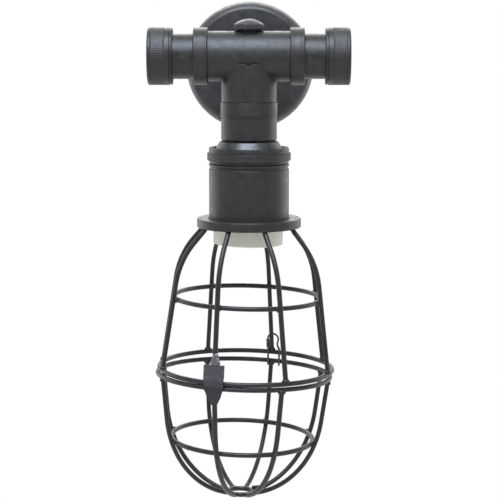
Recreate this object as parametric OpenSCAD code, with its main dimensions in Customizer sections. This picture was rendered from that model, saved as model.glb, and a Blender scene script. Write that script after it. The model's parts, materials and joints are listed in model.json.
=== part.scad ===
// Cage wall light: a wall rose and arm carry a pipe tee, under which a swivelling
// lamp head holds a wire cage with a drop-down lower basket.
// The wall is the plane y = 0, the lamp stands out towards -Y, and +Z is up.
// The origin is the middle of the rose on the wall.

/* [Wall rose and arm] */
// Outer diameter of the rose
rose_d = 114; // [104:1:130]
// Diameter of the flat front of the rose
rose_face_d = 99; // [80:1:100]
// How far the rose stands out from the wall
rose_depth = 22; // [18:0.5:30]
// Straight rim of the rose next to the wall
rose_rim = 5; // [4:0.5:7]
// Sheet thickness of the rose
rose_wall = 1.6; // [1:0.1:2.5]
// Distance of the lamp's axis from the wall
axis_out = 95; // [88:1:120]
// Outer diameter of the arm
arm_d = 18; // [14:0.5:20]
// Bore of the arm
arm_bore_d = 13; // [9:0.5:13]
// Outer diameter of the rings at both ends of the arm
arm_ring_d = 28; // [24:0.5:34]
// Length of each of those rings
arm_ring_l = 6; // [4:0.5:8]

/* [Tee] */
// Height of the cross tube's axis above the arm
tee_rise = 10; // [6:0.5:12]
// Outer diameter of the cross tube
tube_d = 42.5; // [42:0.5:45]
// Bore of the cross tube
tube_bore_d = 36.5; // [34:0.5:38]
// Length of the cross tube
tube_l = 69.4; // [60:0.2:80]
// Outer diameter of the branch that hangs under the tube
branch_d = 46.8; // [46:0.2:48]
// Bore of the branch
branch_bore_d = 35.2; // [30:0.2:36]
// Depth of the branch's end below the tube's axis
branch_drop = 38.4; // [36:0.2:46]
// Drop of the branch's flat front ledge below the tube's axis
ledge_drop = 6.2; // [4:0.2:8]
// Width of the nick in the middle of the ledge
nick_w = 7; // [3:0.5:9]
// Depth of that nick
nick_depth = 1; // [0.8:0.1:2.5]

/* [Bands, necks and end caps] */
// Outer diameter of the bands beside the tube
band_d = 48.4; // [46:0.2:52]
// Width of each band
band_w = 12.2; // [9:0.2:15]
// Outer diameter of the necks
neck_d = 38.1; // [38:0.1:41]
// Bore of the necks
neck_bore_d = 30; // [26:0.5:32]
// Bare length of neck between band and end cap
neck_l = 17.7; // [12:0.1:24]
// Length of the neck's threaded end inside the tube
spigot_l = 12; // [8:0.5:14]
// Outer diameter of the end caps
cap_d = 48.4; // [46:0.2:52]
// Length of the end caps
cap_l = 20.8; // [16:0.2:26]
// Thickness of an end cap's closed end
cap_end = 3.5; // [2:0.1:5]

/* [Switch knob] */
// Diameter of the knob
knob_d = 25; // [22:0.5:28]
// Height of the knob's upright side
knob_side_h = 4.7; // [3.6:0.1:7]
// Height of the knob's dome
knob_dome_h = 4.8; // [3:0.1:7]
// Diameter of the saddle under the knob
seat_d = 20.4; // [19:0.2:23]
// Height of the saddle above the tube
seat_h = 1; // [0.6:0.1:2]
// Outer diameter of the switch's threaded bush
bush_d = 10; // [8:0.5:10]
// Diameter of the switch's spindle
spindle_d = 6; // [4:0.5:6]

/* [Drop tube, coupling and sleeve] */
// Wall of the tube that joins branch, coupling and sleeve
drop_wall = 2.5; // [1.5:0.1:3.5]
// Outer diameter of the coupling ring
coupling_d = 48.2; // [47:0.2:52]
// Height of the coupling ring
coupling_h = 12.7; // [8:0.1:18]
// Outer diameter of the sleeve
sleeve_d = 46.2; // [44:0.2:48]
// Height of the sleeve
sleeve_h = 19.6; // [16:0.1:26]
// Thickness of the sleeve's floor
sleeve_floor = 3; // [2:0.1:4]

/* [Swivel] */
// Outer diameter of the hollow swivel bolt
nipple_d = 10; // [9:0.5:12]
// Bore of the swivel bolt
nipple_bore_d = 7; // [6.5:0.1:8]
// Thickness of the washer in the gap above the lamp head
washer_t = 0.75; // [0.5:0.05:1.5]
// Diameter of that washer
washer_d = 39; // [30:0.5:42]

/* [Lamp head] */
// Diameter of the cup at its top
cup_top_d = 45.4; // [40:0.2:47]
// Diameter of the cup where it meets its clamping rim
cup_low_d = 54.6; // [52:0.2:55]
// Height of the cup's flare
cup_h = 8; // [7:0.1:12]
// Wall of the cup
cup_wall = 2; // [1.5:0.1:3]
// Diameter of the collar's knurled band
collar_d = 71.4; // [70:0.2:76]
// Diameter of the collar's plain top lip
collar_lip_d = 68.2; // [67:0.2:70]
// Diameter of the collar below its knurled band
collar_tail_d = 67.4; // [65.4:0.2:68]
// Height of the top lip
collar_lip_h = 4.1; // [3:0.1:6]
// Height of the knurled band
collar_band_h = 6.8; // [5:0.1:10]
// Height of the plain tail
collar_tail_h = 2.2; // [1.5:0.1:4]
// Thickness of the lip's inward ledge
collar_ledge = 2.5; // [1.5:0.1:3]
// Diameter of the thread between collar and housing
thread_d = 62.4; // [61.8:0.1:63]
// Outer diameter of the housing
housing_d = 68.2; // [66.6:0.1:70]
// Bore of the housing
housing_bore_d = 62; // [60.8:0.1:62.4]
// Height of the housing's bead
bead_h = 2.6; // [1.5:0.1:4]
// Height of the groove under the bead
groove_h = 1.7; // [1:0.1:3]
// Depth of that groove
groove_depth = 0.9; // [0.4:0.1:1.2]
// Length of the housing's plain cylinder
housing_l = 42.3; // [40:0.1:60]
// Diameter of the flange over the cage
flange_d = 88.9; // [88:0.1:92]
// Thickness of the flange
flange_h = 7.8; // [7:0.1:10]

/* [Lampholder] */
// Outer diameter of the cream skirt
skirt_d = 59.5; // [56:0.1:60]
// Wall of the skirt
skirt_wall = 2; // [1.2:0.1:3]
// How far the skirt shows below the flange
skirt_drop = 12.7; // [8:0.1:18]
// Height of the skirt
skirt_h = 40; // [34:0.5:44]
// Outer diameter of the lampholder's body
holder_d = 39.6; // [36:0.2:44]
// Inside diameter of the screw shell for the lamp cap
shell_bore_d = 26.6; // [26.5:0.05:26.8]
// Wall of the screw shell
shell_wall = 0.5; // [0.3:0.1:0.8]
// Length of the screw shell
shell_l = 26; // [22:0.5:28]
// Rim of the lampholder below the screw shell
holder_lip = 1.5; // [0.5:0.1:3]

/* [Cage] */
// Diameter of all the cage's wire
wire_d = 4; // [3.4:0.1:4.4]
// How deep the welds sink one wire into the next
weld_bite = 0.3; // [0.1:0.05:0.5]
// Number of upright wires
wire_n = 8; // [6:1:10]
// Turn of the wires away from a gap that faces straight ahead
cage_turn = 3; // [-10:0.5:10]
// How far the whole cage hangs out of true, to the left
cage_lean = 1.3; // [0:0.1:1.5]
// Distance of the wires from the lamp's axis at the flange
cage_top_r = 40.2; // [39.6:0.1:41]
// Angle at which the wires leave the flange
flare_angle = 40; // [30:1:45]
// Radius of the bend under the flange
flare_r = 6; // [5:0.5:8]
// Radius of the cage's shoulder
shoulder_r = 68; // [40:1:75]
// Slope of the wires between shoulder and hoop
upper_slope = 7.4; // [6:0.2:10]
// Depth of the upper hoop below the flange
hoop_depth = 122.4; // [105:0.2:140]
// Radius of both hoops to the middle of the wire
hoop_r = 74.4; // [70:0.2:80]
// Depth of the ring in the upper cage below the flange
upper_ring_depth = 61; // [50:0.5:75]
// Gap between the two hoops beside the latch
latch_gap = 0.3; // [0.3:0.05:0.8]
// Gap between the two hoops at the hinge
hinge_gap = 3.5; // [3:0.1:5]
// How far the basket hangs to the left of the upper cage, along its hinge
basket_slip = 1.5; // [0:0.1:2]
// Height of the basket's straight side
basket_side_h = 36; // [24:1:42]
// How far the basket draws in over the height of its side
basket_draw = 4.4; // [3:0.2:6]
// Depth of the basket from its hoop to the bottom ring
basket_depth = 105; // [90:0.5:120]
// Depth of the basket's ring below its hoop
basket_ring_depth = 56; // [45:0.5:70]
// Radius of the small bottom ring
bottom_ring_r = 10.8; // [9:0.1:16]

/* [Latch and hinge] */
// Width of the latch plate
latch_w = 17; // [12:0.5:22]
// Height of the plate above the upper hoop
latch_up = 16; // [12:0.5:22]
// Height of the plate's full width below the upper hoop
latch_down = 6; // [5:0.2:9]
// Length of the tapered tongue
latch_tongue = 11.5; // [8:0.5:16]
// Width of the tongue at its tip
latch_tip_w = 3.4; // [2:0.2:6]
// Thickness of the plate
latch_t = 1.5; // [1:0.1:2]
// Diameter of the hinge's spring wire
hinge_wire_d = 1.7; // [1.2:0.1:2]
// Distance between the hinge's two links
hinge_w = 10.5; // [9:0.5:14]
// Height of the hinge's top loop above the upper hoop
hinge_loop_h = 15; // [10:0.5:20]

/* [Hidden] */

$fn = 96;
// Running gap of a shaft or thread, on the radius
fit = 0.05;
// Gap between flat faces that turn on each other
face_gap = 0.1;
// Overshoot of a cut past the face that it opens
over = 1;
// Small break on turned edges
edge = 0.6;
blacks = [0.20, 0.20, 0.21];
wire_colour = [0.17, 0.17, 0.18];
steel = [0.72, 0.73, 0.75];
brass = [0.80, 0.66, 0.36];
cream = [0.86, 0.84, 0.76];
white = [0.92, 0.92, 0.90];
rubber = [0.12, 0.12, 0.12];

// Heights down the lamp's axis
z_tee = tee_rise;
z_branch = z_tee - branch_drop;
z_coupling = z_branch - coupling_h;
z_sleeve = z_coupling - sleeve_h;
z_cup = z_sleeve - washer_t - fit;
z_clamp = z_cup - cup_h;
clamp_t = 2;
gasket_t = 1;
z_collar = z_clamp + collar_ledge + face_gap;
collar_h = collar_lip_h + collar_band_h + collar_tail_h;
collar_gap = 0.4;
z_bead = z_collar - collar_h - collar_gap;
z_cylinder = z_bead - bead_h - groove_h;
z_flange = z_cylinder - housing_l;
z_cage = z_flange - flange_h;
z_spigot = z_clamp - clamp_t - gasket_t;
z_skirt = z_cage - skirt_drop;
holder_in = 3;
z_holder = z_skirt + holder_in;
z_shell = z_holder + holder_lip;
holder_h = 42;
z_holder_top = z_holder + holder_h;
cap_wall = 2;
holder_cap_h = 16;
clamp_play = 0.4;
clamp_d = thread_d - clamp_play;
nipple_up = 6;
z_nipple = z_sleeve + sleeve_floor + nipple_up;
nut_t = 4.5;
nut_af = 17;

// Places along the cross tube
x_band = tube_l / 2;
x_neck = x_band + band_w;
x_cap = x_neck + neck_l;
x_end = x_cap + cap_l;
neck_play = 0.5;
neck_end = x_end - cap_end - neck_play;

// Places along the arm
arm_back = 12;
bracket_t = 2;
boss_d = 26;
boss_out = 5.1;
boss_face = axis_out - branch_d / 2 - boss_out;
socket_l = 10;
arm_socket_end = boss_face + socket_l;
arm_nut_t = 5;

// The cage's wires, as points of distance from the axis and height
wire_r = wire_d / 2;
joint_step = wire_d - weld_bite;
butt_step = wire_r - weld_bite;
channel_in_r = 31.7;
channel_play = 0.8;
channel_out_r = cage_top_r + wire_r + channel_play;
channel_roof = wire_d + 2 * fit;
top_ring_r = cage_top_r - joint_step;
start_up = 1.2;
// The tops of the wires stay under the channel's roof on the side that leans up
wire_top_gap = 0.3;
wire_top = channel_roof - wire_top_gap - (cage_top_r + wire_r) * sin(cage_lean);
wire_sides = 12;
wire_step = 7;
bowl_steps = 16;

// Points of a bend that starts at p with heading h0 and ends with heading h1, where
// a heading is an angle from straight down, positive away from the axis
function bend(p, h0, h1, r) =
    let (s = h1 > h0 ? 1 : -1, n = max(2, ceil(abs(h1 - h0) / wire_step)))
    [for (i = [1:n]) let (h = h0 + (h1 - h0) * i / n)
        [p[0] + s * r * (cos(h0) - cos(h)), p[1] - s * r * (sin(h) - sin(h0))]];

// The upper wires: out of the flange, round the shoulder, and down to the hoop
flare_end = bend([cage_top_r, start_up], 0, flare_angle, flare_r);
flare_p = flare_end[len(flare_end) - 1];
reach = hoop_r - flare_p[0] - shoulder_r * (cos(upper_slope) - cos(flare_angle));
fall = hoop_depth - butt_step + flare_p[1]
    - shoulder_r * (sin(flare_angle) - sin(upper_slope));
side_l = (fall * sin(flare_angle) - reach * cos(flare_angle))
    / sin(flare_angle - upper_slope);
flare_l = (reach - side_l * sin(upper_slope)) / sin(flare_angle);
shoulder_p = flare_p + flare_l * [sin(flare_angle), -cos(flare_angle)];
upper_path = concat([[cage_top_r, wire_top], [cage_top_r, start_up]], flare_end,
    [shoulder_p], bend(shoulder_p, flare_angle, upper_slope, shoulder_r),
    [[hoop_r, butt_step - hoop_depth]]);
upper_ring_r = hoop_r - joint_step / cos(upper_slope)
    - (hoop_depth - butt_step - upper_ring_depth) * tan(upper_slope);

// The basket's wires: a straight side, then an ellipse to the bottom ring, where they
// butt against its outside. The ellipse starts a little past its widest place, so that
// it goes on at the slope of the side.
bowl_start = 8;
bowl_r = (hoop_r - basket_draw) / cos(bowl_start);
bowl_end_r = bottom_ring_r + butt_step;
bowl_turn = acos(bowl_end_r / bowl_r);
bowl_h = (basket_depth - basket_side_h) / (sin(bowl_turn) - sin(bowl_start));
function bowl_point(a) =
    [bowl_r * cos(a), -basket_side_h - bowl_h * (sin(a) - sin(bowl_start))];
lower_path = concat([[hoop_r, -butt_step]], [for (i = [0:bowl_steps])
    bowl_point(bowl_start + (bowl_turn - bowl_start) * i / bowl_steps)]);
ring_turn = asin((basket_ring_depth - basket_side_h) / bowl_h + sin(bowl_start));
ring_slope = atan(bowl_r * sin(ring_turn) / (bowl_h * cos(ring_turn)));
lower_ring_r = bowl_r * cos(ring_turn) - joint_step / cos(ring_slope);

// The cage is welded by hand: at the hoops each wire stands a few degrees off its even
// place, and each upper wire leans a little to one side. The list starts in front, to
// the right of the gap, and goes round to the right.
upper_skew = [1.5, -0.5, -0.5, 1.5, 2.5, 6.5, -7, -0.5];
upper_sway = [-2.5, -0.5, 1.5, 1.5, 1.5, -2, 2.5, -1.5];
lower_skew = [0, 4, -1, 0.75, 1.5, 2, -2.5, 1];
lower_sway = [0];
wire_turn = cage_turn - 90;
wire_pitch = 360 / wire_n;
latch_at = wire_turn - wire_pitch / 2;
hinge_wire_i = round(wire_n / 2) - 1;
basket_z = wire_d + latch_gap;
basket_tilt = asin((hinge_gap - latch_gap) / (2 * hoop_r));

// Outline points of a rounded upper edge
function rounded(r, top, by) = [for (a = [0:30:90])
    [r - by * (1 - cos(a)), top - by * (1 - sin(a))]];

// ---- shared shapes ----------------------------------------------------------

module on_axis(z) translate([0, -axis_out, z]) children();

module on_tube(x) translate([x, -axis_out, z_tee]) rotate([0, 90, 0]) children();

module on_arm(y) translate([0, -y, 0]) rotate([90, 0, 0]) children();

// A ring from z = 0 up, with broken outer edges
module ring(d, bore, h, break_by = edge) {
    rotate_extrude() polygon([[bore / 2, 0], [d / 2 - break_by, 0], [d / 2, break_by],
        [d / 2, h - break_by], [d / 2 - break_by, h], [bore / 2, h]]);
}

module tube(d, bore, h) {
    difference() {
        cylinder(d = d, h = h);
        translate([0, 0, -over]) cylinder(d = bore, h = h + 2 * over);
    }
}

module hex_nut(across, bore, h) {
    difference() {
        cylinder(d = across / cos(30), h = h, $fn = 6);
        translate([0, 0, -over]) cylinder(d = bore, h = h + 2 * over);
    }
}

// Points of (radius, height) in the XZ plane
function upright(path) = [for (p = path) [p[0], 0, p[1]]];

// The same points on a wire that leans sideways from the hoop up, as far from the axis
function swayed(path, lean) = [for (p = path) let (y = (p[1] + hoop_depth) * tan(lean))
    [sqrt(p[0] * p[0] - y * y), y, p[1]]];

// A round wire along points that lie near the XZ plane, closed or with flat ends
module swept_wire(path, r, closed = false, sides = wire_sides) {
    n = len(path);
    function ahead(i) = closed ? path[(i + 1) % n] : path[min(i + 1, n - 1)];
    function behind(i) = closed ? path[(i + n - 1) % n] : path[max(i - 1, 0)];
    function unit(v) = v / norm(v);
    // The side step grows at a corner, so that the wire keeps its thickness
    function spread(i) = (!closed && (i == 0 || i == n - 1)) ? 1
        : let (c = unit(path[i] - behind(i)) * unit(ahead(i) - path[i]))
            1 / sqrt((1 + min(1, c)) / 2);
    points = [for (i = [0:n - 1])
        let (way = unit(ahead(i) - behind(i)), across = unit([0, 1, 0] - way[1] * way),
            out = spread(i) * cross(way, across))
        for (k = [0:sides - 1]) let (a = 360 * k / sides)
            path[i] + r * (cos(a) * out + sin(a) * across)];
    last = closed ? n - 1 : n - 2;
    walls = [for (i = [0:last]) for (k = [0:sides - 1])
        let (j = (i + 1) % n, m = (k + 1) % sides)
        [i * sides + k, i * sides + m, j * sides + m, j * sides + k]];
    ends = closed ? [] : [[for (k = [sides - 1:-1:0]) k],
        [for (k = [0:sides - 1]) (n - 1) * sides + k]];
    polyhedron(points = points, faces = concat(walls, ends));
}

module torus(r, wire) rotate_extrude() translate([r, 0]) circle(r = wire, $fn = 32);

// The cage leans to the left as a whole, from the middle of the flange's underside
module on_cage() on_axis(z_cage) rotate([0, cage_lean, 0]) children();

// The basket hangs from the hinge a little open, and meets the upper hoop at the latch
module on_basket() {
    on_cage() translate([0, 0, -hoop_depth - basket_z]) rotate([0, 0, latch_at])
        translate([hoop_r, 0, 0]) rotate([0, -basket_tilt, 0])
        translate([-hoop_r, -basket_slip, 0]) rotate([0, 0, -latch_at]) children();
}

// ---- wall rose --------------------------------------------------------------

ear_gap = 3.6;
ear_x = rose_d / 2 - rose_wall - ear_gap;
ear_out = 14;
ear_w = 14;
ear_t = 2;
bar_h = 20;
tab_w = 42;
tab_low = 38;
tab_lap = 2;
wall_hole_x = 30;
wall_hole_d = 5;
cable_hole_x = 15;
cable_hole_d = 14;
side_screw_y = 9;
side_screw_d = 3.2;
side_screw_tip = 1.4;
side_screw_l = ear_gap + ear_t + side_screw_tip;
side_head_d = 7;
side_head_h = 2.2;
side_hole_play = 0.4;
earth_in = 10.8;
earth_x = ear_x - earth_in;
earth_d = 4;
earth_washer_d = 9;
earth_washer_t = 0.8;
earth_head_d = 7.4;
earth_head_h = 2.6;
slot_w = 1;
slot_depth = 1;
rose_steps = 12;

module wall_bracket() color(steel) difference() {
    union() {
        translate([-ear_x, -bracket_t, -bar_h / 2]) cube([2 * ear_x, bracket_t, bar_h]);
        translate([-tab_w / 2, -bracket_t, -tab_low])
            cube([tab_w, bracket_t, tab_low - bar_h / 2 + tab_lap]);
        for (side = [-1, 1])
            translate([side * (ear_x - ear_t / 2) - ear_t / 2, -ear_out, -ear_w / 2])
                cube([ear_t, ear_out - bracket_t / 4, ear_w]);
    }
    for (x = [-wall_hole_x, wall_hole_x]) translate([x, over, 0]) rotate([90, 0, 0])
        cylinder(d = wall_hole_d, h = bracket_t + 2 * over);
    translate([-cable_hole_x, over, 0]) rotate([90, 0, 0])
        cylinder(d = cable_hole_d, h = bracket_t + 2 * over);
    translate([earth_x, over, 0]) rotate([90, 0, 0])
        cylinder(d = earth_d + 2 * fit, h = bracket_t + 2 * over);
    for (side = [-1, 1]) translate([side * ear_x, -side_screw_y, 0]) rotate([0, 90, 0])
        cylinder(d = side_screw_d + 2 * fit, h = 4 * ear_t, center = true);
}

module earth_screw() color(brass) translate([earth_x, 0, 0]) rotate([90, 0, 0]) {
    cylinder(d = earth_d, h = bracket_t + over);
    translate([0, 0, bracket_t]) cylinder(d = earth_washer_d, h = earth_washer_t);
    translate([0, 0, bracket_t + earth_washer_t]) difference() {
        cylinder(d = earth_head_d, h = earth_head_h);
        translate([-earth_head_d, -slot_w / 2, earth_head_h - slot_depth])
            cube([2 * earth_head_d, slot_w, slot_depth + over]);
    }
}

// Half outline of a pressed dish: straight rim, then a rounded shoulder to a flat face
function rose_outline(r, face_r, depth, rim) = concat([[r, 0]],
    [for (i = [0:rose_steps]) let (a = 90 * i / rose_steps)
        [face_r + (r - face_r) * cos(a), rim + (depth - rim) * sin(a)]],
    [[0, depth]]);

module rose() color(blacks) rotate([90, 0, 0]) difference() {
    rotate_extrude() polygon(concat([[0, 0]],
        rose_outline(rose_d / 2, rose_face_d / 2, rose_depth, rose_rim)));
    rotate_extrude() polygon(concat([[0, -over], [rose_d / 2 - rose_wall, -over]],
        rose_outline(rose_d / 2 - rose_wall, rose_face_d / 2 - rose_wall,
            rose_depth - rose_wall, rose_rim)));
    cylinder(d = arm_d + 2 * fit, h = rose_depth + over);
    translate([0, 0, side_screw_y]) rotate([0, 90, 0])
        cylinder(d = side_screw_d + side_hole_play, h = rose_d + 2 * over, center = true);
}

module rose_screws() color(blacks) for (side = [0, 180]) rotate([0, side, 0])
    translate([rose_d / 2, -side_screw_y, 0]) rotate([0, 90, 0]) {
        cylinder(d = side_head_d, h = side_head_h);
        translate([0, 0, -rose_wall - side_screw_l])
            cylinder(d = side_screw_d, h = rose_wall + side_screw_l);
    }

block_w = 34;
block_h = 16;
block_t = 14;
block_top = -17;
pole_pitch = 10.5;
pole_d = 5.2;
pole_bore_d = 3.2;
pole_in = 1;
driver_hole_d = 3.4;
fixing_hole_d = 2.4;
terminal_screw_d = 3;
terminal_sunk = 0.5;
terminal_rows = [-block_h / 4, -3 * block_h / 4];

module terminal_block() color(white) translate([0, -bracket_t, block_top]) difference() {
    translate([-block_w / 2, -block_t, -block_h]) cube([block_w, block_t, block_h]);
    for (i = [-1:1]) {
        translate([i * pole_pitch, -block_t / 2, -block_h - over])
            cylinder(d = pole_d, h = block_h + 2 * over);
        for (z = terminal_rows) translate([i * pole_pitch, -block_t / 2, z])
            rotate([90, 0, 0]) cylinder(d = driver_hole_d, h = block_t);
    }
    for (x = [-1, 1]) translate([x * pole_pitch / 2, over, -block_h / 2]) rotate([90, 0, 0])
        cylinder(d = fixing_hole_d, h = block_t + 2 * over);
}

module terminal_inserts() color(brass) for (i = [-1:1])
    translate([i * pole_pitch, -bracket_t - block_t / 2, block_top - block_h + pole_in])
        tube(pole_d, pole_bore_d, block_h - 2 * pole_in);

module terminal_screws() color(steel) for (i = [-1:1], z = terminal_rows)
    translate([i * pole_pitch, -bracket_t - block_t + terminal_sunk, block_top + z])
        rotate([-90, 0, 0]) cylinder(d = terminal_screw_d,
            h = block_t / 2 - terminal_sunk - pole_d / 2 - face_gap);

// ---- arm --------------------------------------------------------------------

arm_nut_af = 24;
arm_ring_edge = 1;

module arm_tube() color(blacks) on_arm(arm_back) tube(arm_d, arm_bore_d,
    arm_socket_end - arm_back);

module arm_nut() color(steel) on_arm(rose_depth - rose_wall - arm_nut_t)
    hex_nut(arm_nut_af, arm_d + 2 * fit, arm_nut_t);

module arm_base_ring() color(blacks) on_arm(rose_depth)
    ring(arm_ring_d, arm_d + 2 * fit, arm_ring_l, arm_ring_edge);

module arm_lock_ring() color(blacks) on_arm(boss_face - arm_ring_l)
    ring(arm_ring_d, arm_d + 2 * fit, arm_ring_l, arm_ring_edge);

cable_d = 6;
cable_y = 9;
cable_turn_in = 6;
cable_turn_out = 8;
cable_lap = 2;

module quarter_turn(radius) rotate_extrude(angle = 90) translate([radius, 0]) circle(d = cable_d);

module supply_cable() color(rubber) {
    translate([0, -cable_y, block_top]) cylinder(d = cable_d, h = -block_top - cable_turn_in);
    translate([0, -cable_y - cable_turn_in, -cable_turn_in])
        rotate([90, 0, 90]) quarter_turn(cable_turn_in);
    on_arm(cable_y + cable_turn_in)
        cylinder(d = cable_d, h = axis_out - cable_y - cable_turn_in - cable_turn_out);
    translate([0, -axis_out + cable_turn_out, -cable_turn_out])
        rotate([90, 0, 90]) rotate([0, 0, 90]) quarter_turn(cable_turn_out);
    on_axis(z_nipple + cable_lap)
        cylinder(d = cable_d, h = -cable_turn_out - z_nipple - cable_lap);
}

// ---- tee --------------------------------------------------------------------

boss_stop = 8;
branch_edge = 0.3;
band_edge = 0.8;
// Bore of a ring that is drilled out afterwards
pilot_d = 1;
nick_in = 4;

module tee_body() color(blacks) difference() {
    union() {
        on_tube(-tube_l / 2) cylinder(d = tube_d, h = tube_l);
        difference() {
            on_axis(z_branch) ring(branch_d, pilot_d, branch_drop - ledge_drop, branch_edge);
            translate([0, -axis_out - branch_d / 2, z_tee - ledge_drop]) rotate([90, 0, 0])
                linear_extrude(height = 2 * nick_in, center = true)
                    polygon([[-nick_w / 2, over], [-nick_w / 2, 0], [0, -nick_depth],
                        [nick_w / 2, 0], [nick_w / 2, over]]);
        }
        on_arm(boss_face) cylinder(d = boss_d, h = axis_out - boss_face - boss_stop);
    }
    on_tube(-tube_l / 2 - over) cylinder(d = tube_bore_d, h = tube_l + 2 * over);
    on_axis(z_branch - over) cylinder(d = branch_bore_d, h = branch_drop + over);
    on_arm(boss_face - over) cylinder(d = arm_d + 2 * fit, h = arm_socket_end - boss_face + over);
    on_arm(boss_face) cylinder(d = arm_bore_d, h = axis_out - boss_face);
    on_axis(z_tee) cylinder(d = bush_d + 2 * fit, h = tube_d);
}

module band(side) color(blacks) on_tube(side > 0 ? x_band : -x_neck)
    ring(band_d, neck_d + 2 * fit, band_w, band_edge);

module neck(side) color(blacks) translate([0, -axis_out, z_tee]) rotate([0, side * 90, 0])
    difference() {
        union() {
            translate([0, 0, x_band - spigot_l])
                cylinder(d = tube_bore_d - 2 * fit, h = spigot_l + over);
            translate([0, 0, x_band]) cylinder(d = neck_d, h = neck_end - x_band);
        }
        cylinder(d = neck_bore_d, h = x_end);
    }

cap_round = 1.4;
dish_rim = 6;
dish_depth = 0.8;

module end_cap(side) color(blacks) translate([0, -axis_out, z_tee]) rotate([0, side * 90, 0])
    translate([0, 0, x_cap]) difference() {
        rotate_extrude() polygon(concat([[0, 0], [cap_d / 2 - edge, 0], [cap_d / 2, edge]],
            rounded(cap_d / 2, cap_l, cap_round), [[0, cap_l]]));
        translate([0, 0, -over]) cylinder(d = neck_d + 2 * fit, h = cap_l - cap_end + over);
        translate([0, 0, cap_l - dish_depth]) cylinder(d = cap_d - 2 * dish_rim, h = over);
    }

module band_left() band(-1);
module band_right() band(1);
module neck_left() neck(-1);
module neck_right() neck(1);
module end_cap_left() end_cap(-1);
module end_cap_right() end_cap(1);

// ---- switch and knob --------------------------------------------------------

z_tube_top = z_tee + tube_d / 2;
z_seat = z_tube_top + seat_h;
switch_d = 17;
z_switch_top = z_tee + sqrt(pow(tube_bore_d / 2, 2) - pow(switch_d / 2, 2)) - fit;
switch_h = 16;
knob_nut_t = 2.4;
knob_nut_af = 14;
knob_gap = 0.4;
z_knob = z_seat + knob_gap;
knob_edge = 0.4;
spindle_low = 11;
bush_over = 0.3;
pocket_play = 1;
pocket_h = knob_nut_t + 0.6;
dome_steps = 8;

module knob_seat() color(blacks) difference() {
    on_axis(z_tee + tube_d / 4) cylinder(d = seat_d, h = z_seat - z_tee - tube_d / 4);
    on_tube(-seat_d) cylinder(d = tube_d, h = 2 * seat_d);
    on_axis(z_tee) cylinder(d = bush_d + 2 * fit, h = tube_d);
}

module switch_body() color(rubber) on_axis(0) difference() {
    union() {
        translate([0, 0, z_switch_top - switch_h]) cylinder(d = switch_d, h = switch_h);
        translate([0, 0, z_switch_top - over])
            cylinder(d = bush_d, h = z_seat + knob_nut_t + bush_over - z_switch_top + over);
    }
    translate([0, 0, z_switch_top - spindle_low])
        cylinder(d = spindle_d + 2 * fit, h = tube_d);
}

module switch_nut() color(steel) on_axis(z_seat) hex_nut(knob_nut_af, bush_d + 2 * fit, knob_nut_t);

module switch_spindle() color(brass) on_axis(z_switch_top - spindle_low + face_gap)
    cylinder(d = spindle_d, h = z_knob + knob_side_h - z_switch_top + spindle_low - face_gap);

// A shallow domed head, hollow underneath for the nut
module knob() color(blacks) on_axis(z_knob) {
    dome_r = (pow(knob_d / 2, 2) + pow(knob_dome_h, 2)) / (2 * knob_dome_h);
    reach_angle = asin(knob_d / 2 / dome_r);
    difference() {
        rotate_extrude() polygon(concat(
            [[0, 0], [knob_d / 2 - knob_edge, 0], [knob_d / 2, knob_edge]],
            [for (i = [0:dome_steps]) let (a = reach_angle * (1 - i / dome_steps))
                [dome_r * sin(a), knob_side_h + knob_dome_h - dome_r * (1 - cos(a))]]));
        translate([0, 0, -over])
            cylinder(d = knob_nut_af / cos(30) + 2 * pocket_play, h = pocket_h + over);
        translate([0, 0, -over]) cylinder(d = spindle_d + 2 * fit, h = knob_side_h + over);
    }
}

// ---- drop tube, coupling and sleeve -----------------------------------------

drop_up = 22;
drop_top = z_branch + drop_up;
drop_clear = 1.5;
drop_low = z_sleeve + sleeve_floor + drop_clear;
drop_d = branch_bore_d - 2 * fit;
sleeve_edge = 0.5;

module drop_tube() color(blacks) on_axis(drop_low)
    tube(drop_d, drop_d - 2 * drop_wall, drop_top - drop_low);

module coupling_ring() color(blacks) on_axis(z_coupling)
    ring(coupling_d, branch_bore_d, coupling_h, edge);

module sleeve() color(blacks) on_axis(z_sleeve) difference() {
    ring(sleeve_d, pilot_d, sleeve_h, sleeve_edge);
    translate([0, 0, sleeve_floor]) cylinder(d = branch_bore_d, h = sleeve_h);
    translate([0, 0, -over]) cylinder(d = nipple_d + 2 * fit, h = sleeve_h);
}

// ---- lamp head --------------------------------------------------------------

nipple_down = 4;
z_nipple_low = z_holder_top + holder_cap_h - cap_wall - nipple_down;
thin_edge = 0.1;
cup_round = 1.2;
clamp_w = 4;
spigot_wall = 3;

module swivel_nipple() color(brass) on_axis(z_nipple_low)
    tube(nipple_d, nipple_bore_d, z_nipple - z_nipple_low);

module swivel_nut() color(brass) on_axis(z_sleeve + sleeve_floor + face_gap)
    hex_nut(nut_af, nipple_d + 2 * fit, nut_t);

module cup_nut() color(brass) on_axis(z_cup - cup_wall - nut_t)
    hex_nut(nut_af, nipple_d + 2 * fit, nut_t);

module swivel_washer() color(rubber) on_axis(z_cup)
    ring(washer_d, nipple_d + 2 * fit, washer_t, thin_edge);

// A flared cup whose rim, lower down, is clamped between collar and housing
module holder_cup() color(blacks) on_axis(z_clamp) {
    under = cup_h - cup_wall;
    rotate_extrude() polygon(concat(
        [[nipple_d / 2 + fit, under], [cup_top_d / 2 - 1.5 * cup_wall, under],
            [cup_low_d / 2 - 2 * cup_wall, 0], [thread_d / 2 - clamp_w, -clamp_t],
            [clamp_d / 2, -clamp_t], [clamp_d / 2, 0], [cup_low_d / 2, 0],
            [cup_low_d / 2 - cup_round, cup_round]],
        rounded(cup_top_d / 2, cup_h, cup_round), [[nipple_d / 2 + fit, cup_h]]));
}

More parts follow.
